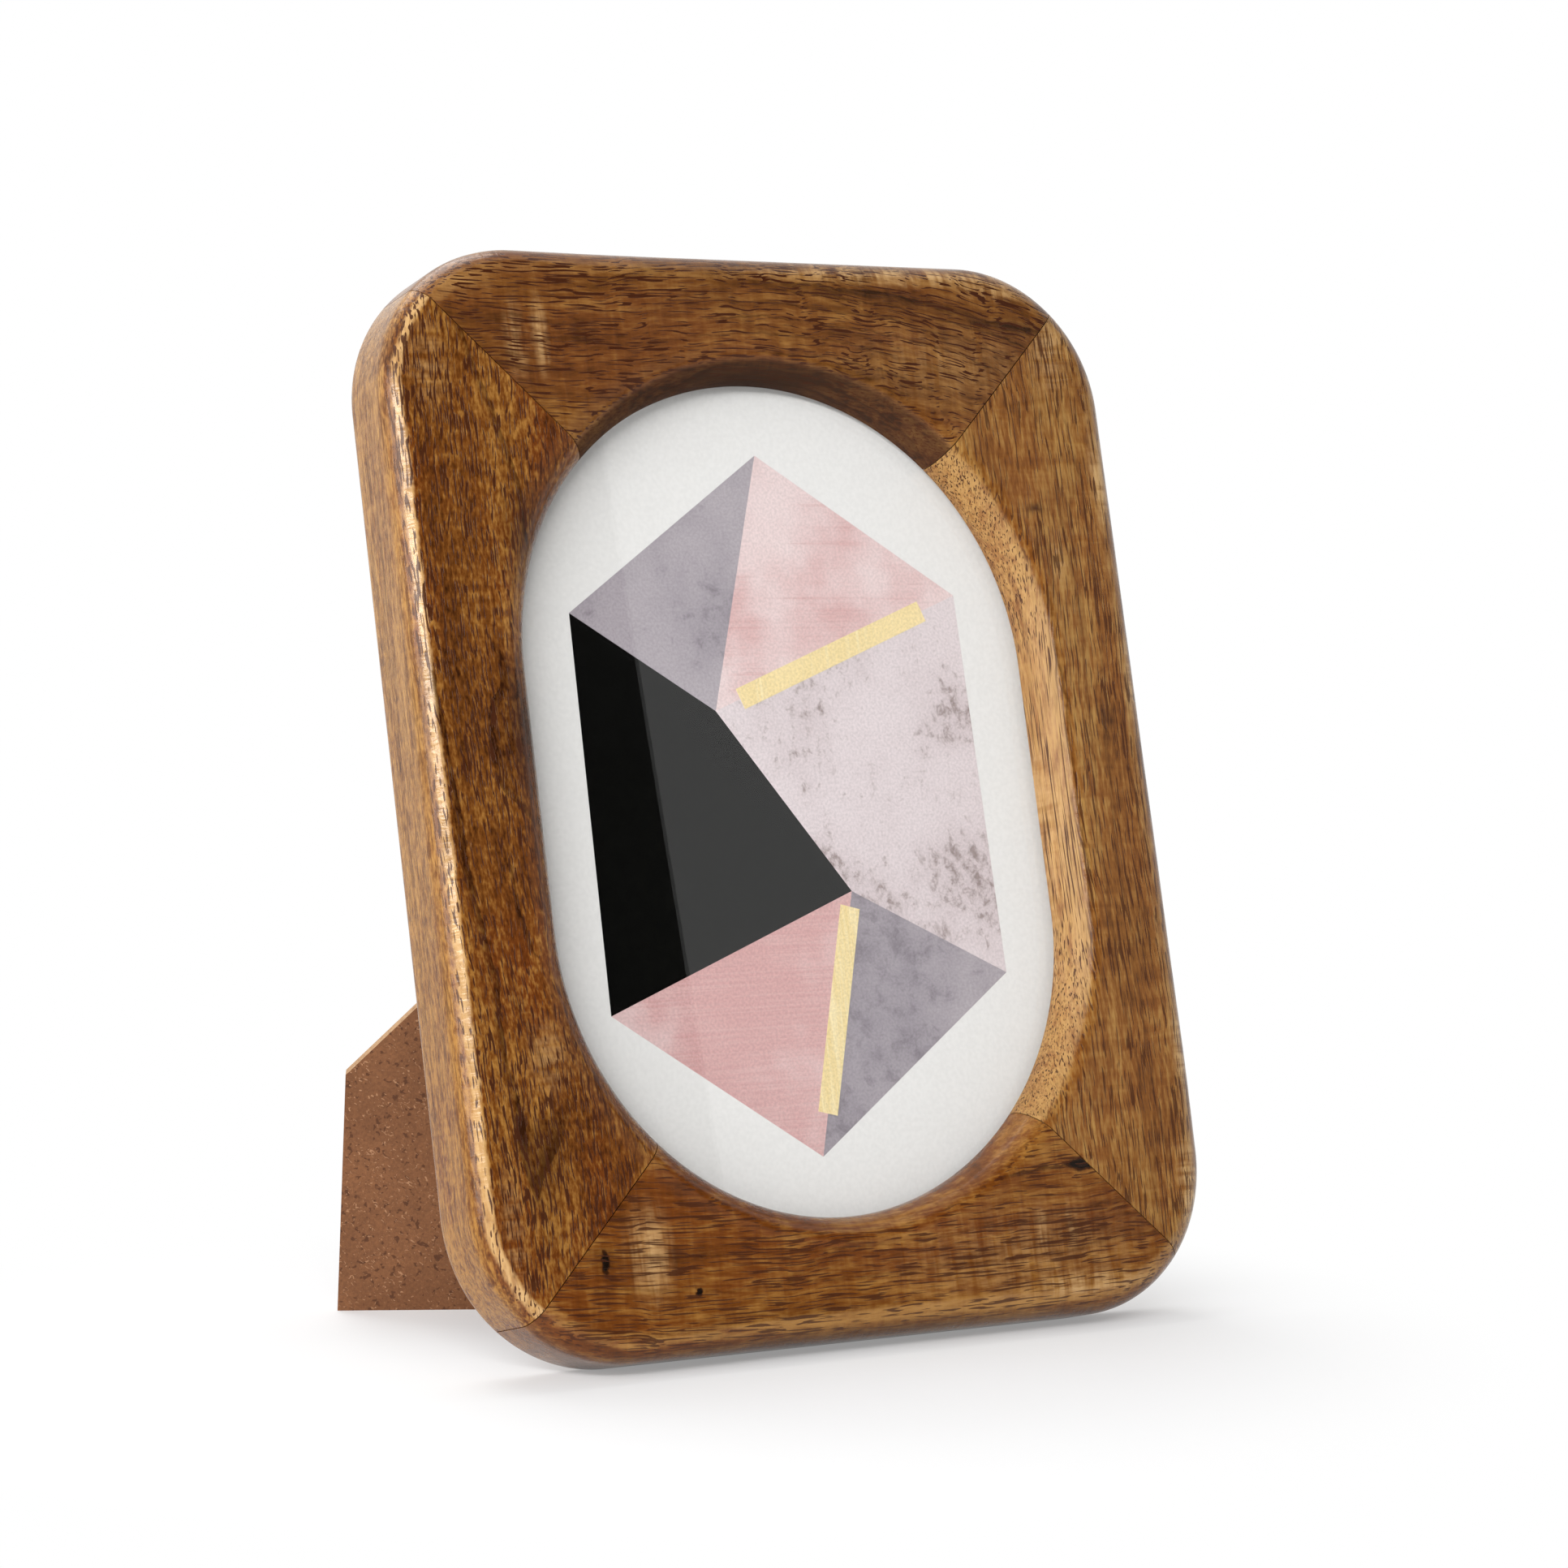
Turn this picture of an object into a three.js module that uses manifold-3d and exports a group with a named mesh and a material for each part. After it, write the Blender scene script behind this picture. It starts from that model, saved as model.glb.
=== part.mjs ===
// A wooden picture frame that stands on its own, for one 127 x 178 mm print.
//
// Four mitred rails of hardwood form a flat ring with rounded outer corners and an oval opening.
// A rebate behind the opening holds the glass, the print, a card and a hardboard back, which four
// turn buttons keep in. A hardboard strut is hinged on a diagonal of the back, so that its square
// end stands flush on the floor with the frame upright or on its side.
//
// Millimetres. Inside the leaning group, x runs to the right, y from the front face to the back
// and z up the frame, from the middle of its front face. The whole model is +Z up and faces -Y.
import * as THREE from "three";
import { mergeVertices } from "three/addons/utils/BufferGeometryUtils.js";
import Module from "manifold-3d";

// Print, rebate and rails
const PRINT_W = 127;
const PRINT_H = 178;
const REBATE_CLEARANCE = 1;
const RAIL_BACK_W = 18;
const FRAME_T = 18;
const CORNER_R = 30.5;
const FRONT_EDGE_R = 5.5;
const BACK_EDGE_R = 2.5;
const MITRE_GAP = 0.2;

// Oval opening: how far its lip covers the print, and the height of each curved end
const LIP_COVER_SIDE = 6;
const LIP_COVER_END = 5.5;
const OPENING_CURVE_H = 58;
const OPENING_EDGE_R = 5.5;
const OPENING_BELOW_MIDDLE = 0.7;

// What lies in the rebate, from front to back
const GLASS_T = 2;
const PRINT_T = 0.4;
const CARD_T = 3;
const BOARD_T = 3;
const BOARD_RECESS = 0.4;
const SEAT_GAP = 0.3;
const SHEET_CLEARANCE = 0.5;

// Stance
const LEAN_DEG = 14;

// Hinge of the strut, rolled from sheet steel
const HINGE_BELOW_MIDDLE = 22;
const HINGE_LEFT_OF_MIDDLE = 3.5;
const HINGE_LENGTH = 44;
const HINGE_SHEET = 0.8;
const HINGE_PIN_R = 1;
const HINGE_PIN_CLEARANCE = 0.2;
const KNUCKLE_LENGTH = 11;
const KNUCKLE_GAP = 0.3;
const LEAF_CLEARANCE = 0.3;
const LEAF_W = 15;
const STOP_LUG_W = 12;
const STOP_LUG_REACH = 7.5;
const PIN_HEAD_R = 1.7;
const PIN_HEAD_T = 0.7;

// Strut
const STRUT_W = 69;
const STRUT_T = 3;
const STRUT_POINT_RISE = 37.8;
const STRUT_TOP_GAP = 0.6;

// Rivets that hold the hinge
const RIVET_SHANK_R = 1.2;
const RIVET_HEAD_R = 2.8;
const RIVET_HEAD_T = 1;
const RIVET_CLINCH_R = 1.8;
const RIVET_CLINCH_T = 0.5;
const RIVET_CLEARANCE = 0.3;
const RIVET_SPACING = 28;
const RIVET_FROM_PIN = 9;

// Turn buttons and their screws
const BUTTON_W = 9;
const BUTTON_T = 0.8;
const BUTTON_REACH = 17;
const BUTTON_FROM_REBATE = 8;
const BOTTOM_BUTTON_X = 26;
const SCREW_SHANK_R = 1.4;
const SCREW_CLEARANCE = 0.3;
const SCREW_LENGTH = 10;
const SCREW_TIP_LENGTH = 2.5;
const SCREW_HEAD_R = 3;
const SCREW_HEAD_T = 1.8;
const SCREW_SLOT_W = 0.8;
const SCREW_SLOT_DEPTH = 0.9;

// V-nails across the mitres
const V_NAIL_LEG = 5;
const V_NAIL_SHEET = 0.6;
const V_NAIL_DEPTH = 7;
const V_NAIL_HALF_ANGLE_DEG = 57;
const V_NAIL_CLEARANCE = 0.3;

// How finely curves are cut
const CORNER_STEPS = 10;
const OPENING_STEPS = 28;
const EDGE_STEPS = 5;
const BORE_STEPS = 16;
const CUT_PAST = 2;

// Sizes that follow from the ones above
const REBATE_HALF_W = PRINT_W / 2 + REBATE_CLEARANCE;
const REBATE_HALF_H = PRINT_H / 2 + REBATE_CLEARANCE;
const HALF_W = REBATE_HALF_W + RAIL_BACK_W;
const HALF_H = REBATE_HALF_H + RAIL_BACK_W;
const OPENING_HALF_W = PRINT_W / 2 - LIP_COVER_SIDE;
const OPENING_HALF_H = PRINT_H / 2 - LIP_COVER_END;
const BOARD_BACK_Y = FRAME_T - BOARD_RECESS;
const BOARD_FRONT_Y = BOARD_BACK_Y - BOARD_T;
const CARD_FRONT_Y = BOARD_FRONT_Y - SEAT_GAP - CARD_T;
const PRINT_FRONT_Y = CARD_FRONT_Y - SEAT_GAP - PRINT_T;
const GLASS_FRONT_Y = PRINT_FRONT_Y - SEAT_GAP - GLASS_T;
const LIP_BACK_Y = GLASS_FRONT_Y - SEAT_GAP;
const LEAN = THREE.MathUtils.degToRad(LEAN_DEG);
const BARREL_R = HINGE_PIN_R + HINGE_PIN_CLEARANCE + HINGE_SHEET;
const PIN_Y = BOARD_BACK_Y + SEAT_GAP + BARREL_R;
const PIN_Z = -HINGE_BELOW_MIDDLE;
const PIN_X = -HINGE_LEFT_OF_MIDDLE;
// Opened this far, both edges of the strut's square end lie level when the frame leans by LEAN.
const STRUT_OPEN = 2 * Math.atan(Math.SQRT2 * Math.tan(LEAN));

const wasm = await Module();
wasm.setup();

// A closed geometry as a solid that can be cut and joined.
function solid(geometry) {
  const bare = geometry.clone();
  bare.deleteAttribute("normal");
  bare.deleteAttribute("uv");
  const merged = mergeVertices(bare, 1e-4);
  const vertProperties = new Float32Array(merged.attributes.position.array);
  const triVerts = new Uint32Array(merged.index.array);
  return new wasm.Manifold(new wasm.Mesh({ numProp: 3, vertProperties, triVerts }));
}

// A solid back as a three.js geometry.
function geometryOf(body) {
  const { vertProperties, triVerts } = body.getMesh();
  const geometry = new THREE.BufferGeometry();
  geometry.setAttribute("position", new THREE.BufferAttribute(vertProperties, 3));
  geometry.setIndex(new THREE.BufferAttribute(triVerts, 1));
  geometry.computeVertexNormals();
  return geometry;
}

// An outline in x and z, extruded from depth yFront to depth yBack.
function plate(shape, yFront, yBack, curveSegments = BORE_STEPS) {
  const options = { depth: yBack - yFront, bevelEnabled: false, curveSegments };
  return new THREE.ExtrudeGeometry(shape, options).rotateX(Math.PI / 2).translate(0, yBack, 0);
}

function polygon(points) {
  return new THREE.Shape(points.map(([x, z]) => new THREE.Vector2(x, z)));
}

function box(x0, x1, y0, y1, z0, z1) {
  const geometry = new THREE.BoxGeometry(x1 - x0, y1 - y0, z1 - z0);
  return geometry.translate((x0 + x1) / 2, (y0 + y1) / 2, (z0 + z1) / 2);
}

// A turned profile of [radius, depth] points about an axis along y, through (x, z).
function turned(profile, x, z, steps = BORE_STEPS) {
  const points = profile.map(([radius, y]) => new THREE.Vector2(radius, y));
  return new THREE.LatheGeometry(points, steps).translate(x, 0, z);
}

// A plain round bar about an axis along y.
function roundBar(radius, y0, y1, x, z) {
  return turned([[0, y0], [radius, y0], [radius, y1], [0, y1]], x, z);
}

// A round bar along x about the origin.
function crossBar(radius, x0, x1) {
  const bar = new THREE.CylinderGeometry(radius, radius, x1 - x0, BORE_STEPS);
  return bar.rotateZ(Math.PI / 2).translate((x0 + x1) / 2, 0, 0);
}

// A closed body through rings of [x, z] points, each ring at its own depth y.
function loft(rings) {
  const count = rings[0].outline.length;
  const positions = [];
  const index = [];
  for (const { outline, y } of rings) {
    for (const [x, z] of outline) {
      positions.push(x, y, z);
    }
  }
  for (let ring = 0; ring + 1 < rings.length; ring += 1) {
    for (let i = 0; i < count; i += 1) {
      const here = ring * count + i;
      const next = ring * count + ((i + 1) % count);
      index.push(here, here + count, next, next, here + count, next + count);
    }
  }
  const last = (rings.length - 1) * count;
  for (let i = 1; i + 1 < count; i += 1) {
    index.push(0, i, i + 1, last, last + i + 1, last + i);
  }
  const geometry = new THREE.BufferGeometry();
  geometry.setAttribute("position", new THREE.Float32BufferAttribute(positions, 3));
  geometry.setIndex(index);
  return geometry;
}

// The frame's outer outline, drawn in by inset all round.
function outerOutline(inset) {
  const radius = CORNER_R - inset;
  const points = [];
  const corners = [[1, 1], [-1, 1], [-1, -1], [1, -1]];
  corners.forEach(([sideX, sideZ], quarter) => {
    for (let step = 0; step <= CORNER_STEPS; step += 1) {
      const angle = (quarter + step / CORNER_STEPS) * (Math.PI / 2);
      const x = sideX * (HALF_W - CORNER_R) + radius * Math.cos(angle);
      const z = sideZ * (HALF_H - CORNER_R) + radius * Math.sin(angle);
      points.push([x, z]);
    }
  });
  return points;
}

// The opening's outline, grown by flare all round: straight sides between two half ellipses.
function openingOutline(flare) {
  const straight = OPENING_HALF_H - OPENING_CURVE_H;
  const points = [];
  for (const end of [1, -1]) {
    for (let step = 0; step <= OPENING_STEPS; step += 1) {
      const angle = (step / OPENING_STEPS) * Math.PI;
      const x = end * (OPENING_HALF_W + flare) * Math.cos(angle);
      const z = end * (straight + (OPENING_CURVE_H + flare) * Math.sin(angle));
      points.push([x, z - OPENING_BELOW_MIDDLE]);
    }
  }
  return points;
}

// Rounds an edge: [how far the outline is drawn in, depth from the face], face first.
function roundedEdge(radius) {
  const steps = [];
  for (let step = 0; step <= EDGE_STEPS; step += 1) {
    const angle = (step / EDGE_STEPS) * (Math.PI / 2);
    steps.push([radius * (1 - Math.sin(angle)), radius * (1 - Math.cos(angle))]);
  }
  return steps;
}

// The whole wooden ring before it is cut into rails: slab, opening and rebate.
function makeRing() {
  const front = roundedEdge(FRONT_EDGE_R).map(([inset, depth]) => {
    return { outline: outerOutline(inset), y: depth };
  });
  const back = roundedEdge(BACK_EDGE_R).map(([inset, depth]) => {
    return { outline: outerOutline(inset), y: FRAME_T - depth };
  });
  const slab = loft([...front, ...back.reverse()]);
  const flared = roundedEdge(OPENING_EDGE_R).map(([flare, depth]) => {
    return { outline: openingOutline(flare), y: depth };
  });
  const above = { outline: openingOutline(OPENING_EDGE_R), y: -CUT_PAST };
  const below = { outline: openingOutline(0), y: LIP_BACK_Y + CUT_PAST };
  const opening = loft([above, ...flared, below]);
  const rebate = box(
    -REBATE_HALF_W, REBATE_HALF_W, LIP_BACK_Y, FRAME_T + CUT_PAST, -REBATE_HALF_H, REBATE_HALF_H,
  );
  return solid(slab).subtract(solid(opening)).subtract(solid(rebate));
}

// Each rail: half its length, and how a point t along it and n in from its edge lies in x and z.
const RAILS = [
  { name: "left_rail", half: HALF_H, place: (t, n) => [-HALF_W + n, t] },
  { name: "right_rail", half: HALF_H, place: (t, n) => [HALF_W - n, -t] },
  { name: "top_rail", half: HALF_W, place: (t, n) => [t, HALF_H - n] },
  { name: "bottom_rail", half: HALF_W, place: (t, n) => [-t, -HALF_H + n] },
];

// The wedge of space between a rail's two mitres.
function mitreWedge({ half, place }) {
  const shift = MITRE_GAP / Math.SQRT2;
  const base = half + CUT_PAST - shift;
  const corners = [place(base, -CUT_PAST), place(-base, -CUT_PAST), place(0, half - shift)];
  return plate(polygon(corners.reverse()), -CUT_PAST, FRAME_T + CUT_PAST);
}

const CORNERS = [
  { name: "top_left", x: -1, z: 1 },
  { name: "top_right", x: 1, z: 1 },
  { name: "bottom_left", x: -1, z: -1 },
  { name: "bottom_right", x: 1, z: -1 },
];

// A V of sheet steel astride a mitre, its point outwards. Grown by spare, it is its own slot.
function vNail(corner, spare) {
  const half = THREE.MathUtils.degToRad(V_NAIL_HALF_ANGLE_DEG);
  const leg = V_NAIL_LEG + spare;
  const thick = (V_NAIL_SHEET + 2 * spare) / Math.sin(half);
  // Along the mitre, the nail sits halfway between the rebate's corner and the rounded corner.
  const woodEnd = CORNER_R * (Math.SQRT2 - 1) + BACK_EDGE_R;
  const middle = (RAIL_BACK_W * Math.SQRT2 + woodEnd) / 2 - (V_NAIL_LEG * Math.cos(half)) / 2;
  const outline = [
    [0, middle - thick / 2],
    [leg * Math.sin(half), middle - thick / 2 + leg * Math.cos(half)],
    [leg * Math.sin(half), middle + thick / 2 + leg * Math.cos(half)],
    [0, middle + thick / 2],
    [-leg * Math.sin(half), middle + thick / 2 + leg * Math.cos(half)],
    [-leg * Math.sin(half), middle - thick / 2 + leg * Math.cos(half)],
  ];
  const points = outline.map(([across, inwards]) => [
    corner.x * (HALF_W - (inwards + across) / Math.SQRT2),
    corner.z * (HALF_H - (inwards - across) / Math.SQRT2),
  ]);
  const yFront = FRAME_T - V_NAIL_DEPTH - spare;
  const yBack = spare > 0 ? FRAME_T + CUT_PAST : FRAME_T;
  return plate(polygon(points), yFront, yBack);
}

// Each turn button: the place of its screw, and the way it points, as an angle from +x to +z.
const BUTTONS = [
  { side: "left", x: -REBATE_HALF_W - BUTTON_FROM_REBATE, z: 0, pointing: 0 },
  { side: "right", x: REBATE_HALF_W + BUTTON_FROM_REBATE, z: 0, pointing: Math.PI },
  { side: "top", x: 0, z: REBATE_HALF_H + BUTTON_FROM_REBATE, pointing: -Math.PI / 2 },
  {
    side: "bottom",
    x: BOTTOM_BUTTON_X,
    z: -REBATE_HALF_H - BUTTON_FROM_REBATE,
    pointing: Math.PI / 2,
  },
];

function makeRails() {
  const ring = makeRing();
  const screwHoles = BUTTONS.map(({ x, z }) => {
    const depth = FRAME_T - SCREW_LENGTH - SCREW_CLEARANCE;
    return roundBar(SCREW_SHANK_R + SCREW_CLEARANCE, depth, FRAME_T + CUT_PAST, x, z);
  });
  const nailSlots = CORNERS.map((corner) => vNail(corner, V_NAIL_CLEARANCE));
  return RAILS.map((rail) => {
    let wood = ring.intersect(solid(mitreWedge(rail)));
    for (const cut of [...screwHoles, ...nailSlots]) {
      wood = wood.subtract(solid(cut));
    }
    return { name: rail.name, geometry: geometryOf(wood) };
  });
}

// A flat sheet that fills the rebate, less its clearance.
function sheet(yFront, thickness) {
  const spare = REBATE_CLEARANCE - SHEET_CLEARANCE;
  const halfW = PRINT_W / 2 + spare;
  const halfH = PRINT_H / 2 + spare;
  return box(-halfW, halfW, yFront, yFront + thickness, -halfH, halfH);
}

// The rivets' places along the hinge
const RIVETS = [
  { side: "left", x: -RIVET_SPACING / 2 },
  { side: "right", x: RIVET_SPACING / 2 },
];

// Turns what is drawn about the hinge's axis to where the closed hinge lies on the board.
function onBoard(geometry) {
  return geometry.rotateY(Math.PI / 4).translate(PIN_X, PIN_Y, PIN_Z);
}

function boardRivetHoles() {
  return RIVETS.flatMap(({ x }) => {
    const front = BOARD_FRONT_Y - PIN_Y;
    const through = RIVET_SHANK_R + RIVET_CLEARANCE;
    const wide = RIVET_CLINCH_R + RIVET_CLEARANCE;
    const seat = front + RIVET_CLINCH_T + RIVET_CLEARANCE;
    return [
      roundBar(through, front - CUT_PAST, 0, x, RIVET_FROM_PIN),
      roundBar(wide, front - CUT_PAST, seat, x, RIVET_FROM_PIN),
    ];
  });
}

function makeBackBoard() {
  let board = solid(sheet(BOARD_FRONT_Y, BOARD_T));
  for (const hole of boardRivetHoles()) {
    board = board.subtract(solid(onBoard(hole)));
  }
  return geometryOf(board);
}

// Rolled barrels about the hinge's axis, before their bore is made.
function barrels(spans) {
  return spans.map(([x0, x1]) => solid(crossBar(BARREL_R, x0, x1)));
}

function bored(body) {
  const bore = crossBar(HINGE_PIN_R + HINGE_PIN_CLEARANCE, -HINGE_LENGTH, HINGE_LENGTH);
  return body.subtract(solid(bore));
}

// A leaf with its barrels, on the +z side of the axis (side 1) or the -z side (side -1).
function hingeLeaf(spans, side) {
  const low = -BARREL_R;
  const high = low + HINGE_SHEET;
  const near = BARREL_R + LEAF_CLEARANCE;
  const half = HINGE_LENGTH / 2;
  const span = (a, b) => [Math.min(side * a, side * b), Math.max(side * a, side * b)];
  let leaf = solid(box(-half, half, low, high, ...span(near, LEAF_W)));
  for (const barrel of barrels(spans)) {
    leaf = leaf.add(barrel);
  }
  for (const [x0, x1] of spans) {
    leaf = leaf.add(solid(box(x0, x1, low, high, ...span(0, LEAF_W))));
  }
  return leaf;
}

const OUTER_KNUCKLES = [
  [-HINGE_LENGTH / 2, -HINGE_LENGTH / 2 + KNUCKLE_LENGTH],
  [HINGE_LENGTH / 2 - KNUCKLE_LENGTH, HINGE_LENGTH / 2],
];
const MIDDLE_KNUCKLE_HALF = HINGE_LENGTH / 2 - KNUCKLE_LENGTH - KNUCKLE_GAP;

function makeFixedLeaf() {
  let leaf = bored(hingeLeaf(OUTER_KNUCKLES, 1));
  for (const { x } of RIVETS) {
    const hole = roundBar(RIVET_SHANK_R + RIVET_CLEARANCE, -2 * BARREL_R, 0, x, RIVET_FROM_PIN);
    leaf = leaf.subtract(solid(hole));
  }
  return geometryOf(leaf);
}

// The moving leaf, with the lug that meets the fixed leaf and stops the strut when it is open.
function makeMovingLeaf() {
  const leaf = hingeLeaf([[-MIDDLE_KNUCKLE_HALF, MIDDLE_KNUCKLE_HALF]], -1);
  const lugLow = -BARREL_R + HINGE_SHEET + SEAT_GAP;
  const lug = box(
    -STOP_LUG_W / 2, STOP_LUG_W / 2, lugLow, lugLow + HINGE_SHEET, 0, STOP_LUG_REACH,
  ).rotateX(-STRUT_OPEN);
  let made = bored(leaf.add(solid(lug)));
  for (const { x } of RIVETS) {
    const radius = RIVET_CLINCH_R + RIVET_CLEARANCE;
    made = made.subtract(solid(roundBar(radius, -2 * BARREL_R, 0, x, -RIVET_FROM_PIN)));
  }
  return geometryOf(made);
}

// The pin, with a peened head past each end of the barrel.
function makePin() {
  const end = HINGE_LENGTH / 2 + KNUCKLE_GAP;
  const shank = solid(crossBar(HINGE_PIN_R, -end - PIN_HEAD_T / 2, end + PIN_HEAD_T / 2));
  const heads = [-1, 1].map((way) => {
    const x0 = Math.min(way * end, way * (end + PIN_HEAD_T));
    return solid(crossBar(PIN_HEAD_R, x0, x0 + PIN_HEAD_T));
  });
  return geometryOf(shank.add(heads[0]).add(heads[1]));
}

// A rivet along y: a domed head on the back at yHead, its clinched end at yEnd, towards the front.
function rivet(yHead, yEnd) {
  const profile = [
    [0, yEnd],
    [RIVET_CLINCH_R, yEnd],
    [RIVET_CLINCH_R, yEnd + RIVET_CLINCH_T],
    [RIVET_SHANK_R, yEnd + RIVET_CLINCH_T],
    [RIVET_SHANK_R, yHead],
    [RIVET_HEAD_R, yHead],
    [RIVET_HEAD_R * 0.8, yHead + RIVET_HEAD_T * 0.7],
    [RIVET_HEAD_R * 0.4, yHead + RIVET_HEAD_T],
    [0, yHead + RIVET_HEAD_T],
  ];
  return turned(profile, 0, 0);
}

// Where the strut's two faces lie, from the pin's axis
const STRUT_FRONT = -BARREL_R + HINGE_SHEET + SEAT_GAP;
const STRUT_BACK = STRUT_FRONT + STRUT_T;

// From the pin to the point of the strut's end, so that its front edge stands on the floor.
function strutLength(floorBelowPin) {
  const turn = new THREE.Euler(STRUT_OPEN, Math.PI / 4, 0, "YXZ");
  const lean = new THREE.Euler(-LEAN, 0, 0);
  const outwards = new THREE.Vector3(0, STRUT_FRONT, 0).applyEuler(turn).applyEuler(lean);
  const along = new THREE.Vector3(0, 0, 1).applyEuler(turn).applyEuler(lean);
  return (floorBelowPin + outwards.z) / along.z;
}

// The lower edge of the strut's pointed end runs at 45 degrees, so it lies along the floor. The
// upper edge is cut by hand, a little steeper.
function makeStrut(length) {
  const top = -BARREL_R - STRUT_TOP_GAP;
  const half = STRUT_W / 2;
  const outline = [
    [half, top],
    [-half, top],
    [-half, -length + STRUT_POINT_RISE],
    [0, -length],
    [half, -length + half],
  ];
  let strut = solid(plate(polygon(outline), STRUT_FRONT, STRUT_BACK));
  for (const { x } of RIVETS) {
    const radius = RIVET_SHANK_R + RIVET_CLEARANCE;
    const hole = roundBar(
      radius, STRUT_FRONT - CUT_PAST, STRUT_BACK + CUT_PAST, x, -RIVET_FROM_PIN,
    );
    strut = strut.subtract(solid(hole));
  }
  return geometryOf(strut);
}

// A turn button about its screw, pointing along +x.
function makeButton() {
  const heel = BUTTON_W / 2;
  const shape = new THREE.Shape();
  shape.absarc(0, 0, heel, Math.PI / 2, (Math.PI * 3) / 2, false);
  shape.absarc(BUTTON_REACH - heel, 0, heel, -Math.PI / 2, Math.PI / 2, false);
  const hole = new THREE.Path();
  hole.absarc(0, 0, SCREW_SHANK_R + SCREW_CLEARANCE, 0, Math.PI * 2, true);
  shape.holes.push(hole);
  return plate(shape, 0, BUTTON_T);
}

// A pan-head screw along y, its head resting at yHead, with a cross slot.
function makeScrew(yHead) {
  const point = FRAME_T - SCREW_LENGTH;
  const profile = [
    [0, point],
    [SCREW_SHANK_R, point + SCREW_TIP_LENGTH],
    [SCREW_SHANK_R, yHead],
    [SCREW_HEAD_R, yHead],
    [SCREW_HEAD_R, yHead + SCREW_HEAD_T * 0.5],
    [SCREW_HEAD_R * 0.7, yHead + SCREW_HEAD_T * 0.9],
    [SCREW_HEAD_R * 0.35, yHead + SCREW_HEAD_T],
    [0, yHead + SCREW_HEAD_T],
  ];
  let screw = solid(turned(profile, 0, 0));
  const top = yHead + SCREW_HEAD_T;
  const long = SCREW_HEAD_R * 0.6;
  const wide = SCREW_SLOT_W / 2;
  for (const [x, z] of [[long, wide], [wide, long]]) {
    const slot = box(-x, x, top - SCREW_SLOT_DEPTH, top + CUT_PAST, -z, z);
    screw = screw.subtract(solid(slot));
  }
  return geometryOf(screw);
}

function material(color, roughness, metalness = 0) {
  return new THREE.MeshStandardMaterial({ color, roughness, metalness });
}

const STAINED_WOOD = material(0x7d5228, 0.42);
const HARDBOARD = material(0x80543c, 0.85);
const PLATED_STEEL = material(0xb9b6ac, 0.35, 1);
const BRIGHT_STEEL = material(0x9b9a98, 0.4, 1);
const GLASS = new THREE.MeshStandardMaterial({
  color: 0xeef4f2, roughness: 0.03, transparent: true, opacity: 0.3,
});
const PRINT_PAPER = material(0xe9e2e0, 0.6);
const GREY_CARD = material(0x9a948a, 0.9);

function mesh(name, geometry, finish) {
  const made = new THREE.Mesh(geometry, finish);
  made.name = name;
  return made;
}

// Everything that leans back together, in the frame's own upright axes
const leaning = new THREE.Group();
leaning.rotation.x = -LEAN;

for (const { name, geometry } of makeRails()) {
  leaning.add(mesh(name, geometry, STAINED_WOOD));
}
for (const corner of CORNERS) {
  leaning.add(mesh(`v_nail_${corner.name}`, vNail(corner, 0), BRIGHT_STEEL));
}
leaning.add(mesh("glass_pane", sheet(GLASS_FRONT_Y, GLASS_T), GLASS));
leaning.add(mesh("print_sheet", sheet(PRINT_FRONT_Y, PRINT_T), PRINT_PAPER));
leaning.add(mesh("backing_card", sheet(CARD_FRONT_Y, CARD_T), GREY_CARD));
leaning.add(mesh("back_board", makeBackBoard(), HARDBOARD));

for (const { side, x, z, pointing } of BUTTONS) {
  const button = mesh(`turn_button_${side}`, makeButton(), PLATED_STEEL);
  button.position.set(x, FRAME_T + SEAT_GAP, z);
  button.rotation.y = -pointing;
  leaning.add(button);
  const screw = mesh(
    `button_screw_${side}`, makeScrew(FRAME_T + BUTTON_T + 2 * SEAT_GAP), BRIGHT_STEEL,
  );
  screw.position.set(x, 0, z);
  leaning.add(screw);
}

// The hinge, on a diagonal of the board
const hinge = new THREE.Group();
hinge.position.set(PIN_X, PIN_Y, PIN_Z);
hinge.rotation.y = Math.PI / 4;
hinge.add(mesh("hinge_fixed_leaf", makeFixedLeaf(), PLATED_STEEL));
hinge.add(mesh("hinge_pin", makePin(), BRIGHT_STEEL));
for (const { side, x } of RIVETS) {
  const leafTop = -BARREL_R + HINGE_SHEET + SEAT_GAP;
  const made = mesh(`board_rivet_${side}`, rivet(leafTop, BOARD_FRONT_Y - PIN_Y), PLATED_STEEL);
  made.position.set(x, 0, RIVET_FROM_PIN);
  hinge.add(made);
}
leaning.add(hinge);

// The strut, swung open about the hinge's pin
const floorBelowPin =
  (FRAME_T - BACK_EDGE_R - PIN_Y) * Math.sin(LEAN) +
  (PIN_Z + HALF_H - BACK_EDGE_R) * Math.cos(LEAN) + BACK_EDGE_R;
const swung = new THREE.Group();
swung.position.set(PIN_X, PIN_Y, PIN_Z);
swung.rotation.set(STRUT_OPEN, Math.PI / 4, 0, "YXZ");
swung.add(mesh("strut_board", makeStrut(strutLength(floorBelowPin)), HARDBOARD));
swung.add(mesh("hinge_moving_leaf", makeMovingLeaf(), PLATED_STEEL));
for (const { side, x } of RIVETS) {
  const made = mesh(`strut_rivet_${side}`, rivet(STRUT_BACK + SEAT_GAP, -BARREL_R), PLATED_STEEL);
  made.position.set(x, 0, -RIVET_FROM_PIN);
  swung.add(made);
}
leaning.add(swung);

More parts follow.
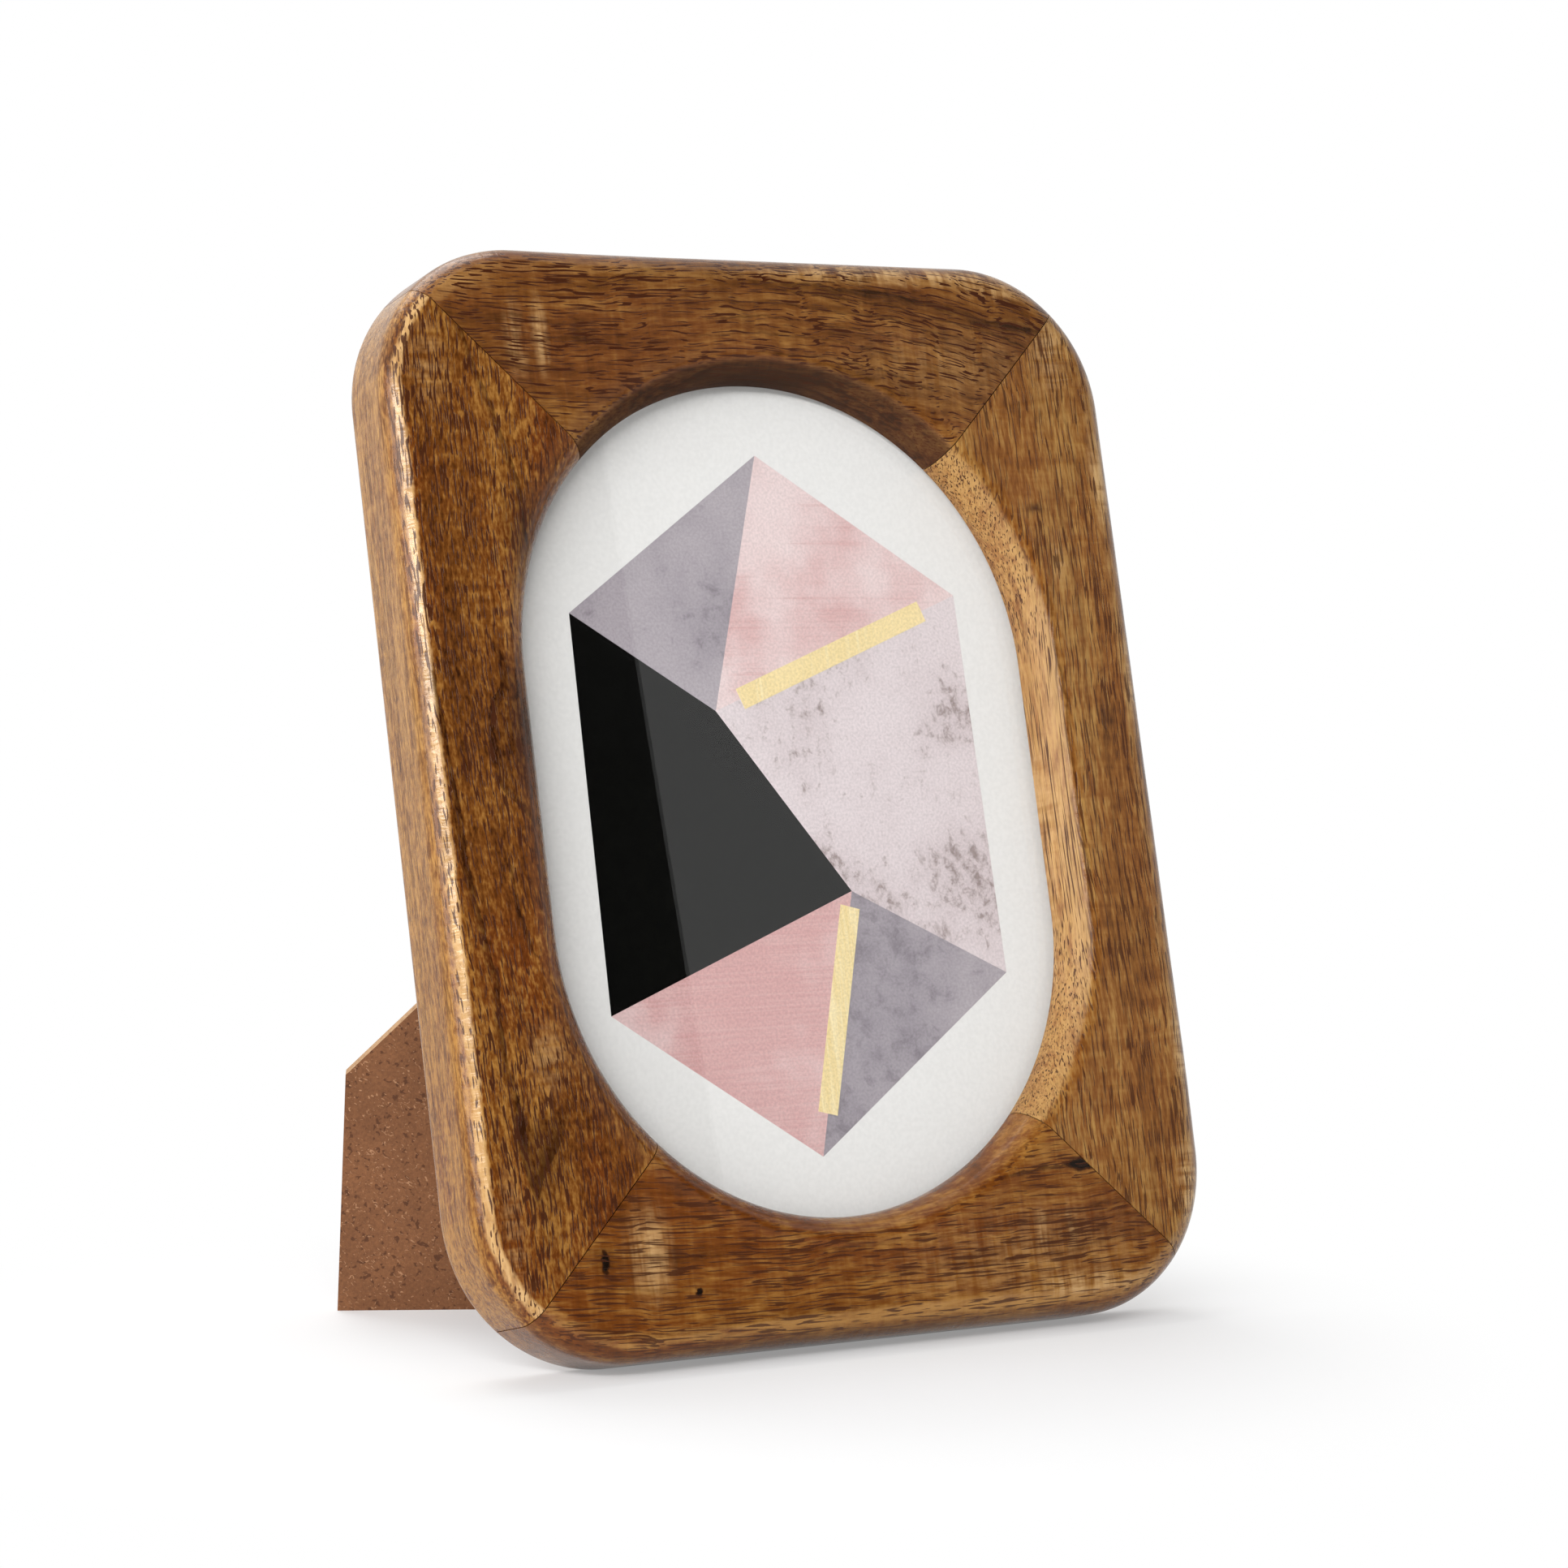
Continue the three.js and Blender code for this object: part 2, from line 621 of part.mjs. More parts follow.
// Stands the frame on the floor, its bounding box centred over the origin.
const frame = new THREE.Group();
frame.add(leaning);
const bounds = new THREE.Box3().setFromObject(frame, true);
const middle = bounds.getCenter(new THREE.Vector3());
leaning.position.set(-middle.x, -middle.y, -bounds.min.z);

export default frame;
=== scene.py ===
# %% [markdown]
# This lesson dresses a tabletop picture frame: four mitred rails of stained hardwood round an oval
# opening, a pane of glass over a small print, and a hardboard strut that props it up from behind.
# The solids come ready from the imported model. They are loaded first, because every piece below is
# placed by them.

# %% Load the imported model
import math

import bmesh
import bpy
from mathutils import Matrix, Vector, noise


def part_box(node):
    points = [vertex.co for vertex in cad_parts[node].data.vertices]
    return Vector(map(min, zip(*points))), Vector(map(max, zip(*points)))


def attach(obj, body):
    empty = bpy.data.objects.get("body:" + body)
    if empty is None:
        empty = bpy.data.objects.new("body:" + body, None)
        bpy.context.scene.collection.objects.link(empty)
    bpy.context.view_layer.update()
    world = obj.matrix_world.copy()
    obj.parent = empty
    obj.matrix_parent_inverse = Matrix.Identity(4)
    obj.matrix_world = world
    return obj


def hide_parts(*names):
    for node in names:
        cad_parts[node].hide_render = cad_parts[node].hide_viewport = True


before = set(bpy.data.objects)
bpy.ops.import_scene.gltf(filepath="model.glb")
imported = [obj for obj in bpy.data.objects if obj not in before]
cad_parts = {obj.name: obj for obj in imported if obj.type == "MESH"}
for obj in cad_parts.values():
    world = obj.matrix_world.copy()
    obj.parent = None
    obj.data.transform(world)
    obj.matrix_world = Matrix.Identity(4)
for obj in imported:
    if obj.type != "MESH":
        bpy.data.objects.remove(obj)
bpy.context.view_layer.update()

MM = 0.001

# %% [markdown]
# The frame leans back on its strut. Its pieces are easier to draw upright, with x to the right,
# y going back from the front face and z up from the frame's middle, in millimetres. One matrix
# then leans them all back and sets them on the floor.

# %% Lean the frame
LEAN = math.radians(14)
LEANING = Matrix.Translation(Vector((0, -23.915, 108.616)) * MM) @ Matrix.Rotation(-LEAN, 4, "X")
print("middle of the front face", [round(v, 4) for v in LEANING @ Vector((0, 0, 0))])

# %% [markdown]
# The camera stands to the left of the frame, a little above the print's middle, with a long lens.
# Its place comes first, so that each later piece can be looked at in the right view.

# %% Set up the camera
LENS_MM = 98.4856
SENSOR_MM = 36
camera_data = bpy.data.cameras.new("camera")
camera_data.lens = LENS_MM
camera_data.sensor_width = SENSOR_MM
camera = bpy.data.objects.new("camera", camera_data)
camera.location = (-0.432115, -0.742234, 0.156677)
camera.rotation_euler = [math.radians(angle) for angle in (86.7226, -0.1232, -30.6446)]
bpy.context.collection.objects.link(camera)
bpy.context.scene.camera = camera
bpy.context.scene.view_settings.view_transform = "Standard"
bpy.context.view_layer.update()
print("camera is", round(camera.location.length, 3), "m from the origin")

# %% [markdown]
# Every finish below is a small tree of shader nodes. A few short helpers keep the trees readable:
# one adds a node and feeds it, the others are the nodes that turn up again and again. Colours are
# written as the 0 to 255 values that a screen shows, and turned into light values here.

# %% Helpers for shader nodes
def paint(red, green, blue):
    light = [value / 255 for value in (red, green, blue)]
    light = [v / 12.92 if v <= 0.04045 else ((v + 0.055) / 1.055) ** 2.4 for v in light]
    return (*light, 1.0)


def add(tree, kind, inputs=None, **settings):
    made = tree.nodes.new(f"ShaderNode{kind}")
    for name, value in settings.items():
        setattr(made, name, value)
    for name, value in (inputs or {}).items():
        if isinstance(value, bpy.types.NodeSocket):
            tree.links.new(value, made.inputs[name])
        else:
            made.inputs[name].default_value = value
    return made


def sums(tree, operation, *values, clamp=False):
    inputs = dict(enumerate(values))
    return add(tree, "Math", inputs, operation=operation, use_clamp=clamp).outputs[0]


def times(tree, *values, clamp=False):
    return sums(tree, "MULTIPLY", *values, clamp=clamp)


def minus(tree, *values):
    return sums(tree, "SUBTRACT", *values)


def layered(tree, value, *layers):
    """A value with other values added to it, each times its own strength."""
    for layer, strength in layers:
        value = sums(tree, "MULTIPLY_ADD", layer, strength, value)
    return value


def vectors(tree, operation, *values):
    made = add(tree, "VectorMath", dict(enumerate(values)), operation=operation)
    return made.outputs["Value" if operation == "LENGTH" else "Vector"]


def speckle(tree, place, scale, detail=2.0, roughness=0.5, distortion=0.0):
    stretched = add(tree, "Mapping", {"Vector": place, "Scale": scale}).outputs[0]
    inputs = {"Vector": stretched, "Scale": 1.0, "Detail": detail, "Roughness": roughness,
              "Distortion": distortion}
    return add(tree, "TexNoise", inputs).outputs[0]


def wobble(tree, *how):
    """The same noise, as much below zero as above it."""
    return minus(tree, speckle(tree, *how), 0.5)


def ramp(tree, value, low, high, start=0.0, end=1.0):
    inputs = {"Value": value, "From Min": low, "From Max": high, "To Min": start, "To Max": end}
    return add(tree, "MapRange", inputs, interpolation_type="SMOOTHSTEP").outputs[0]


def blend(tree, share, first, second, way="MIX"):
    inputs = {0: share, 6: first, 7: second}
    return add(tree, "Mix", inputs, data_type="RGBA", blend_type=way).outputs[2]


def effect(name, inputs, outputs):
    group = bpy.data.node_groups.new(name, "ShaderNodeTree")
    for way, sockets in (("INPUT", inputs), ("OUTPUT", outputs)):
        for kind, labels in sockets.items():
            for label in labels.split():
                group.interface.new_socket(label, in_out=way, socket_type=f"NodeSocket{kind}")
    start = group.nodes.new("NodeGroupInput")
    end = group.nodes.new("NodeGroupOutput")
    return group, start.outputs, end.inputs


def place_effect(tree, group, **inputs):
    return add(tree, "Group", inputs, node_tree=group).outputs


def new_material(name):
    material = bpy.data.materials.new(name)
    material.use_nodes = True
    tree = material.node_tree
    place = add(tree, "TexCoord").outputs["Object"]
    return material, tree, tree.nodes["Principled BSDF"], place


def fixed(shader, values):
    """Sets what is the same all over a surface."""
    for name, value in values.items():
        shader.inputs[name].default_value = value


def dress(tree, shader, color, roughness, height, depth):
    """Feeds a surface its colour, its roughness and its bumps, which are depth metres high."""
    bumps = add(tree, "Bump", {"Height": height, "Distance": depth}).outputs[0]
    for name, value in (("Base Color", color), ("Roughness", roughness), ("Normal", bumps)):
        tree.links.new(value, shader.inputs[name])


print("rail brown", [round(v, 3) for v in paint(110, 68, 32)[:3]])

# %% [markdown]
# Timber is the frame's whole character. Seen close, this stained hardwood is reddish in some parts
# and golden in others, with short bright and dark flecks, ripples across the grain that catch the
# light, and open pores that hold the stain as thin dark dashes. Most of it is longest along the
# grain, so each layer is noise that is stretched along x. A picture of wood would be quicker, but
# noise in three dimensions also gives the right end grain where the opening cuts the fibres.

# %% Build the timber effect
FROM_HEART = (0, -0.012, -0.05)
RINGS_PER_M, RING_DARKNESS = 330.0, 0.2975
LEAST_ROUGH = 0.13
timber, given, made = effect(
    "Stained timber",
    {"Vector": "Place Seed", "Color": "Pale Middle Rust Dark Pore Bleached Burnt",
     "Float": "Run Shade Light Bleach Needles Dull Pores Short Flecks Wave Chatter"},
    {"Color": "Color", "Float": "Gloss Height"},
)
t = timber
run = add(t, "CombineXYZ", {1: given["Run"]}).outputs[0]
level = vectors(t, "SUBTRACT", given["Place"], run)
sown = vectors(t, "ADD", level, given["Seed"])
bend = wobble(t, sown, (13, 30, 30), 2.0)
wander = wobble(t, sown, (60, 160, 160), 2.0)
across = vectors(t, "MULTIPLY", vectors(t, "ADD", level, FROM_HEART), (0.0, 1.0, 1.0))
radius = layered(t, vectors(t, "LENGTH", across), (bend, 0.016), (wander, 0.0022))
ring = sums(t, "FRACT", times(t, radius, RINGS_PER_M))
late = times(t, sums(t, "POWER", ring, 3.5), ramp(t, ring, 1.0, 0.93))
late = times(t, late, ramp(t, speckle(t, sown, (22, 70, 70), 1.0), 0.40, 0.62))
drift = ramp(t, speckle(t, sown, (14, 62, 62), 3.0, 0.6, 0.4), 0.33, 0.68)
rusty = ramp(t, speckle(t, sown, (17, 48, 60), 3.0, 0.6), 0.40, 0.62)
sway = times(t, wobble(t, sown, (92, 60, 60), 1.0), given["Wave"])
sway = add(t, "CombineXYZ", {1: sway, 2: sway}).outputs[0]
lines = vectors(t, "ADD", sown, sway)
long_fibre = wobble(t, lines, (36, 620, 620), 2.0, 0.6)
streak = wobble(t, level, (16, 1500, 1500), 2.0, 0.6)
needle = ramp(t, speckle(t, level, (40, 3400, 3400), 1.0, 0.5), 0.56, 0.64)
fibre = wobble(t, lines, (150, 900, 900), 3.0, 0.65)
drawn_out = add(t, "CombineXYZ", {0: given["Short"], 1: 1.0, 2: 1.0}).outputs[0]
drawn_out = vectors(t, "MULTIPLY", lines, drawn_out)
fleck = speckle(t, drawn_out, (620, 1500, 1500), 2.0, 0.6)
cross = wobble(t, sown, (430, 70, 90), 2.0, 0.6, 0.6)
dense = ramp(t, speckle(t, sown, (30, 90, 90), 2.0), 0.34, 0.62, 0.045, -0.03)
pore = speckle(t, drawn_out, (320, 2600, 2600), 0.6, 0.4, 0.25)
pore = ramp(t, pore, sums(t, "ADD", dense, 0.575), sums(t, "ADD", dense, 0.615))
pore = times(t, pore, given["Pores"], clamp=True)
pore = sums(t, "MAXIMUM", pore, times(t, needle, given["Needles"]))
chatter = wobble(t, sown, (340, 120, 120), 3.0, 0.65, 0.8)
tone = layered(t, given["Light"], (drift, 0.40), (long_fibre, 0.8), (fibre, 0.75),
               (minus(t, fleck, 0.5), given["Flecks"]), (cross, 0.5), (streak, given["Needles"]))
color = blend(t, times(t, rusty, 0.7), given["Middle"], given["Rust"])
color = blend(t, ramp(t, tone, 0.30, 1.05), color, given["Pale"])
# The bleached colour is mixed in for the wood's pale figures and, from the rails' side, ridge and
# wall rows, partly as painted light and a painted highlight.
bleach_and_light = times(t, given["Bleach"], ramp(t, fibre, -0.16, 0.10, 0.45), clamp=True)
color = blend(t, bleach_and_light, color, given["Bleached"])
shade = layered(t, given["Shade"], (late, RING_DARKNESS), (ramp(t, tone, 0.50, -0.30), 0.95))
color = blend(t, sums(t, "MINIMUM", shade, 1.0), color, given["Dark"])
color = blend(t, ramp(t, shade, 1.3, 2.1), color, given["Burnt"])
t.links.new(blend(t, pore, color, given["Pore"]), made["Color"])
gloss = layered(t, sums(t, "ADD", given["Dull"], LEAST_ROUGH), (fleck, 0.16), (pore, 0.12))
t.links.new(gloss, made["Gloss"])
lift = layered(t, times(t, fibre, 0.22), (cross, 0.6), (fleck, 0.20), (chatter, given["Chatter"]),
               (pore, -0.16))
t.links.new(lift, made["Height"])
print("timber effect has", len(timber.nodes), "nodes")

# %% [markdown]
# A knot, the foot of a branch or a patch of curly grain is a spot that is darker or paler than the
# wood round it. This effect gives a soft hill round one place, measured along and across the
# grain, and the same hill broken up by ripples that run across the grain.

# %% Build the figure effect
figure, given, made = effect(
    "Timber figure", {"Vector": "Place Centre Size"}, {"Float": "Hill Rippled"},
)
t = figure
ragged = times(t, wobble(t, given["Place"], (300, 420, 420), 3.0, 0.6), 0.0022)
ragged = add(t, "CombineXYZ", {0: ragged, 1: ragged}).outputs[0]
away = vectors(t, "SUBTRACT", vectors(t, "ADD", given["Place"], ragged), given["Centre"])
away = vectors(t, "LENGTH", vectors(t, "DIVIDE", away, given["Size"]))
hill = ramp(t, away, 1.0, 0.0)
ripples = ramp(t, speckle(t, given["Place"], (520, 70, 90), 2.0, 0.6), 0.30, 0.62)
t.links.new(hill, made["Hill"])
t.links.new(times(t, hill, ripples), made["Rippled"])
print("figure effect has", len(figure.nodes), "nodes")

# %% [markdown]
# Where a board is sawn, the edge of a year's growth shows as a thin dark line that bends into
# ovals and flames. It is crisp on one side and fades on the other. Rings made of noise never bend
# where they should, so the main lines of this wood are drawn one by one: a curve gives each line's
# place across the rail, and this effect turns the distance from that curve into a mask.

# %% Build the growth line effect
CRISP, LINE_END = 0.00025, 0.004
CURVE_REACH = 36
growth, given, made = effect(
    "Growth line", {"Vector": "Place", "Float": "Line Way From To Soft"}, {"Float": "Mask"},
)
t = growth
parts = add(t, "SeparateXYZ", {0: given["Place"]}).outputs
off = layered(t, minus(t, parts["Y"], given["Line"]),
              (wobble(t, given["Place"], (70, 120, 120), 2.0), 0.0028),
              (wobble(t, given["Place"], (420, 900, 900), 2.0), 0.0012))
off = times(t, off, given["Way"])
mask = times(t, ramp(t, off, CRISP, 0.0), ramp(t, off, times(t, given["Soft"], -1.0), 0.0))
for stop, reach in (("From", LINE_END), ("To", -LINE_END)):
    before, after = minus(t, given[stop], reach), sums(t, "ADD", given[stop], reach)
    mask = times(t, mask, ramp(t, parts["X"], before, after))
worn = ramp(t, speckle(t, given["Place"], (190, 260, 260), 2.0, 0.6), 0.28, 0.52, 0.35)
t.links.new(times(t, mask, worn), made["Mask"])


def drawn_curve(tree, along, half, points):
    """How far in from the outer edge a listed curve lies, over the place along the rail."""
    share = layered(tree, 0.5, (along, 1 / (2 * half * MM)))
    node = add(tree, "FloatCurve", {"Value": share})
    curve = node.mapping.curves[0]
    spots = [((t + half) / (2 * half), inward / CURVE_REACH) for t, inward in points]
    curve.points[0].location = spots[0]
    curve.points[1].location = spots[-1]
    for spot in spots[1:-1]:
        curve.points.new(*spot)
    node.mapping.update()
    return times(tree, node.outputs[0], CURVE_REACH * MM)


print("growth line effect has", len(growth.nodes), "nodes")

# %% [markdown]
# The rounded edge of a rail is worn and wipes paler than its face, and the cutter that rounded it
# has left faint chatter marks. This effect measures how far in from the frame's outer edge a spot
# lies, also round the corners, and turns that into masks for the side, the round and its ridge.
# The rails use the side mask partly for painted light on the left side, and the ridge mask partly
# for a painted highlight along the rounded edge. A fourth mask marks the wall of the opening, where
# the cut shows fresher wood. The rails also use it to paint the wall paler on the right, partly as
# painted light, and darker at the top as painted shade.

# %% Build the rim effect
HALF_W, HALF_H = 82.5, 108.0
CORNER_R, FRONT_EDGE_R, LEFT_EDGE_R, BACK_EDGE_R = 30.5, 5.5, 3.3, 2.5
rim, given, made = effect(
    "Rail rim", {"Vector": "Place", "Float": "Half Edge"}, {"Float": "Side Ridge Round Wall"},
)
t = rim
parts = add(t, "SeparateXYZ", {0: given["Place"]}).outputs
past = minus(t, sums(t, "ABSOLUTE", parts["X"]), minus(t, given["Half"], CORNER_R * MM))
past = sums(t, "MAXIMUM", past, 0.0)
short = minus(t, CORNER_R * MM, parts["Y"])
to_centre = sums(t, "SQRT", sums(t, "ADD", times(t, past, past), times(t, short, short)))
inset = layered(t, minus(t, CORNER_R * MM, to_centre),
                (wobble(t, given["Place"], (220, 220, 220), 3.0, 0.6), 0.0016))
inset = sums(t, "DIVIDE", inset, given["Edge"])
off_ridge = sums(t, "ABSOLUTE", minus(t, inset, 0.74))
masks = {
    "Side": times(t, ramp(t, inset, 0.76, 0.22), ramp(t, parts["Z"], 0.001, 0.003)),
    "Ridge": times(t, ramp(t, off_ridge, 0.38, 0.12), ramp(t, parts["Z"], 0.003, 0.001)),
    "Round": ramp(t, inset, 1.12, 0.88),
    "Wall": times(t, ramp(t, parts["Z"], 0.0004, 0.0012), ramp(t, parts["Y"], 0.013, 0.016)),
}
for name, mask in masks.items():
    t.links.new(mask, made[name])
print("rim effect has", len(rim.nodes), "nodes")

# %% [markdown]
# Each rail was sawn from its own stretch of board, so each gets its own tones, its own seed and
# its own figures. The first table has a column for each rail. Its side, ridge and wall rows make
# those parts paler, or below zero darker, its worn and rubbed rows say how far the side and the
# ridge are bleached, and a run is the curve that the fibres follow. Part of this paleness and
# darkness is painted light: the left rail's paler side is partly painted light from the left lamp,
# the pale ridge is partly a painted highlight, the right rail's paler wall is partly painted light,
# and the top rail's darker wall is painted shade. A figure is written as: where it is along and
# across the rail in millimetres, its size along and across, and how dark it is, or below zero how
# pale. A line is written as its way, its soft width, its darkness and the points of its curve,
# along and across the rail.

# %% Stain the four rails
RAILS = ("left_rail", "right_rail", "top_rail", "bottom_rail")
UPRIGHT = ("left_rail", "right_rail")
TONES = {
    "seed": ((0.31, 0.07, 0.0), (1.62, 0.23, 0.1), (2.41, 0.52, 0.2), (3.77, 0.81, 0.3)),
    "pale": ((157, 110, 50), (164, 123, 66), (148, 104, 52), (156, 110, 51)),
    "middle": ((106, 60, 18), (126, 79, 32), (107, 65, 25), (109, 61, 17)),
    "rust": ((103, 48, 13), (122, 71, 28), (104, 57, 26), (107, 54, 16)),
    "dark": ((46, 20, 4), (64, 34, 12), (48, 26, 10), (50, 24, 6)),
    "light": (0.22, 0.32, 0.25, 0.24),
    "pores": (0.95, 0.8, 1.15, 0.85),
    "short": (0.9, 0.42, 0.48, 0.38),
    "flecks": (1.6, 1.2, 0.6, 0.7),
    "wave": ((0.0012, 0.0012), (0.0012, 0.0012), (0.0016, 0.0034), (0.0012, 0.0012)),
    # Side row: paints the outer side paler; on the left rail this is partly paler wood and partly
    # painted light from the left lamp.
    "side": (0.32, 0.1, 0.1, 0.0),
    # Ridge row: paints the ridge paler, partly rubbed wear and partly a painted highlight.
    "ridge": (0.36, 0.15, 0.20, 0.25),
    # Wall row: above zero paints the opening's wall paler, on the right rail partly fresher cut
    # wood and partly painted light; below zero, on the top rail, paints the downward wall darker as
    # painted shade.
    "wall": (0.0, 0.24, -0.65, 0.0),
    "edge": (LEFT_EDGE_R, FRONT_EDGE_R, FRONT_EDGE_R, FRONT_EDGE_R),
    "needles": ((0.3, 0.55), (0.95, 0.4), (0.7, 0.3), (0.3, 0.3)),
    # Worn row: bleaches the outer side, on the left rail more towards the top, partly wear and
    # partly painted light.
    "worn": ((0.0, 0.35), (0.5, 0.5), (0.1, 0.1), (0.1, 0.1)),
    "chatter": (0.9, 1.0, 1.0, 1.0),
    # This row bleaches the ridge, partly rubbed wear and partly a painted highlight.
    "rubbed_and_highlight": (0.9, 0.2, 0.1, 0.1),
    "run": ([(-108, 10), (-60, 9), (-10, 6), (40, 4.5), (108, 6)],
            [(-108, 8), (-50, 7.2), (0, 8.6), (50, 7.6), (108, 8.6)],
            [(-82, 7), (-40, 8.5), (-5, 7), (25, 8), (45, 10.5), (60, 14), (82, 19)],
            [(-82, 10), (-40, 8.4), (0, 8), (40, 8.8), (82, 12)]),
}
FIGURES = {
    "left_rail": [
        (12, 20, 18, 8, 0.6), (-68, 15, 12, 7, 0.42), (50, 25, 15, 7, 0.55),
        (-50, 18, 10, 6, -0.45), (-84, 7, 20, 3.5, -0.4), (84, 9, 12, 6, -0.4),
        (28, 9, 30, 6, 0.12)],
    "right_rail": [
        (-56, 21, 1.6, 3.2, 0.9), (-12, 10, 3.6, 2.4, 0.65), (-62, 4, 14, 3.5, -1.1),
        (-20, 2.5, 14, 3, -0.9), (86, 5, 15, 4.5, -1.5), (58, 2.5, 16, 3.5, -1.3),
        (-45, 17, 9, 2.4, -0.45), (-90, 13, 14, 7, -0.75), (6, 25, 26, 3.0, -0.55),
        (28, 26.5, 22, 2.6, -0.8), (34, 9, 18, 3, 0.16)],
    "top_rail": [
        (-54, 19, 3.4, 11, -0.6), (-48.5, 18, 2.4, 11, -0.8), (-40, 18, 5, 3, 0.45),
        (60, 6, 15, 3, -0.6), (-64, 8, 10, 4, -0.12), (2, 25, 32, 4, 0.35),
        (63, 13, 10, 3, 0.22), (46, 22, 34, 12, -0.2), (36, 3, 52, 3.4, -0.9)],
    "bottom_rail": [
        (57.5, 19, 1.2, 2.9, 4.0), (57.5, 19, 4.5, 5, 0.35), (38.5, 12, 1.3, 1.0, 3.6),
        (-51.5, 29.6, 4.6, 1.7, 3.6), (48, 20, 7.0, 13, -0.85), (-50, 6, 20, 3.6, -0.75),
        (-47, 18, 2.4, 6, -0.45), (-40, 18, 2.0, 6, -0.45), (15, 6, 34, 2.6, 0.2),
        (0, 0.5, 90, 3.2, 0.6), (-36, 12, 44, 16, -0.28)],
}
LINES = {
    "left_rail": [
        (1, 2.2, 0.75, [(-66, 12), (-50, 9.6), (-35, 8.8), (-10, 6), (8, 4.6), (25, 3.4)]),
        (1, 4.2, 0.45, [(-77, 12.5), (-70, 16), (-64, 19.5), (-59, 22)]),
        (-1, 3.4, 0.45, [(-77, 12.5), (-72, 10.8), (-64, 9.8), (-56, 9.8)]),
        (-1, 3.0, 0.62, [(-6, 21.5), (-2, 17.5), (4, 14), (12, 13), (18, 14.5), (23, 17.3),
                         (28, 16.4)]),
        (1, 1.0, 0.7, [(-32, 21), (-30, 17.6), (-24, 16), (-12, 14.5)]),
        (1, 2.0, 0.6, [(48, 27), (62, 25.5), (75, 22), (88, 18), (97, 14.5)])],
    "right_rail": [
        (1, 0.7, 0.6, [(-36, 20.6), (-12, 20.2), (12, 20.2), (36, 20.7)]),
        (1, 1.0, 0.35, [(-78, 11), (-40, 9), (0, 12), (40, 12), (82, 10)]),
        (-1, 0.9, 0.3, [(-64, 15), (-20, 14), (20, 16), (64, 14)]),
        (1, 0.6, 0.4, [(-22, 10), (-16, 12), (-11, 11.4), (-8, 9)])],
    "top_rail": [
        (-1, 2.4, 0.55, [(2, 5.5), (15, 6), (30, 7), (45, 9.5), (58, 12.6), (72, 14)]),
        (1, 0.8, 0.4, [(-6, 10), (10, 10.5), (25, 12), (40, 14.5), (62, 20)]),
        (1, 0.8, 0.35, [(-16, 18), (0, 16.5), (15, 17.5), (30, 20), (52, 26)]),
        (1, 0.5, 0.5, [(-10, 13.5), (5, 13.2), (20, 14.6), (36, 17), (58, 23)]),
        (1, 0.5, 0.5, [(2, 20.5), (14, 21), (28, 23.5), (42, 28)]),
        (1, 0.5, 0.5, [(8, 7.6), (24, 9), (40, 11.6), (60, 16.4), (70, 20)])],
    "bottom_rail": [
        (1, 1.2, 0.75, [(-58, 29.9), (-45, 29.6), (-33, 28.4)]),
        (1, 1.0, 0.3, [(-76, 16), (-40, 13), (0, 12), (40, 12.5), (76, 18)]),
        (-1, 1.0, 0.28, [(-62, 22), (-20, 18), (20, 17.5), (62, 21)])],
}
# BLEACHED_AND_LIT is the straw colour of the pale figures, and also the paint for painted light on
# the left side and a painted highlight along the ridge.
PORE, BLEACHED_AND_LIT, BURNT = (62, 27, 7), (192, 154, 104), (20, 10, 5)
GRAIN_DEPTH = 0.00012
WOOD_SHINE, SHINE_TINT = 0.34, (1.0, 0.91, 0.82, 1)


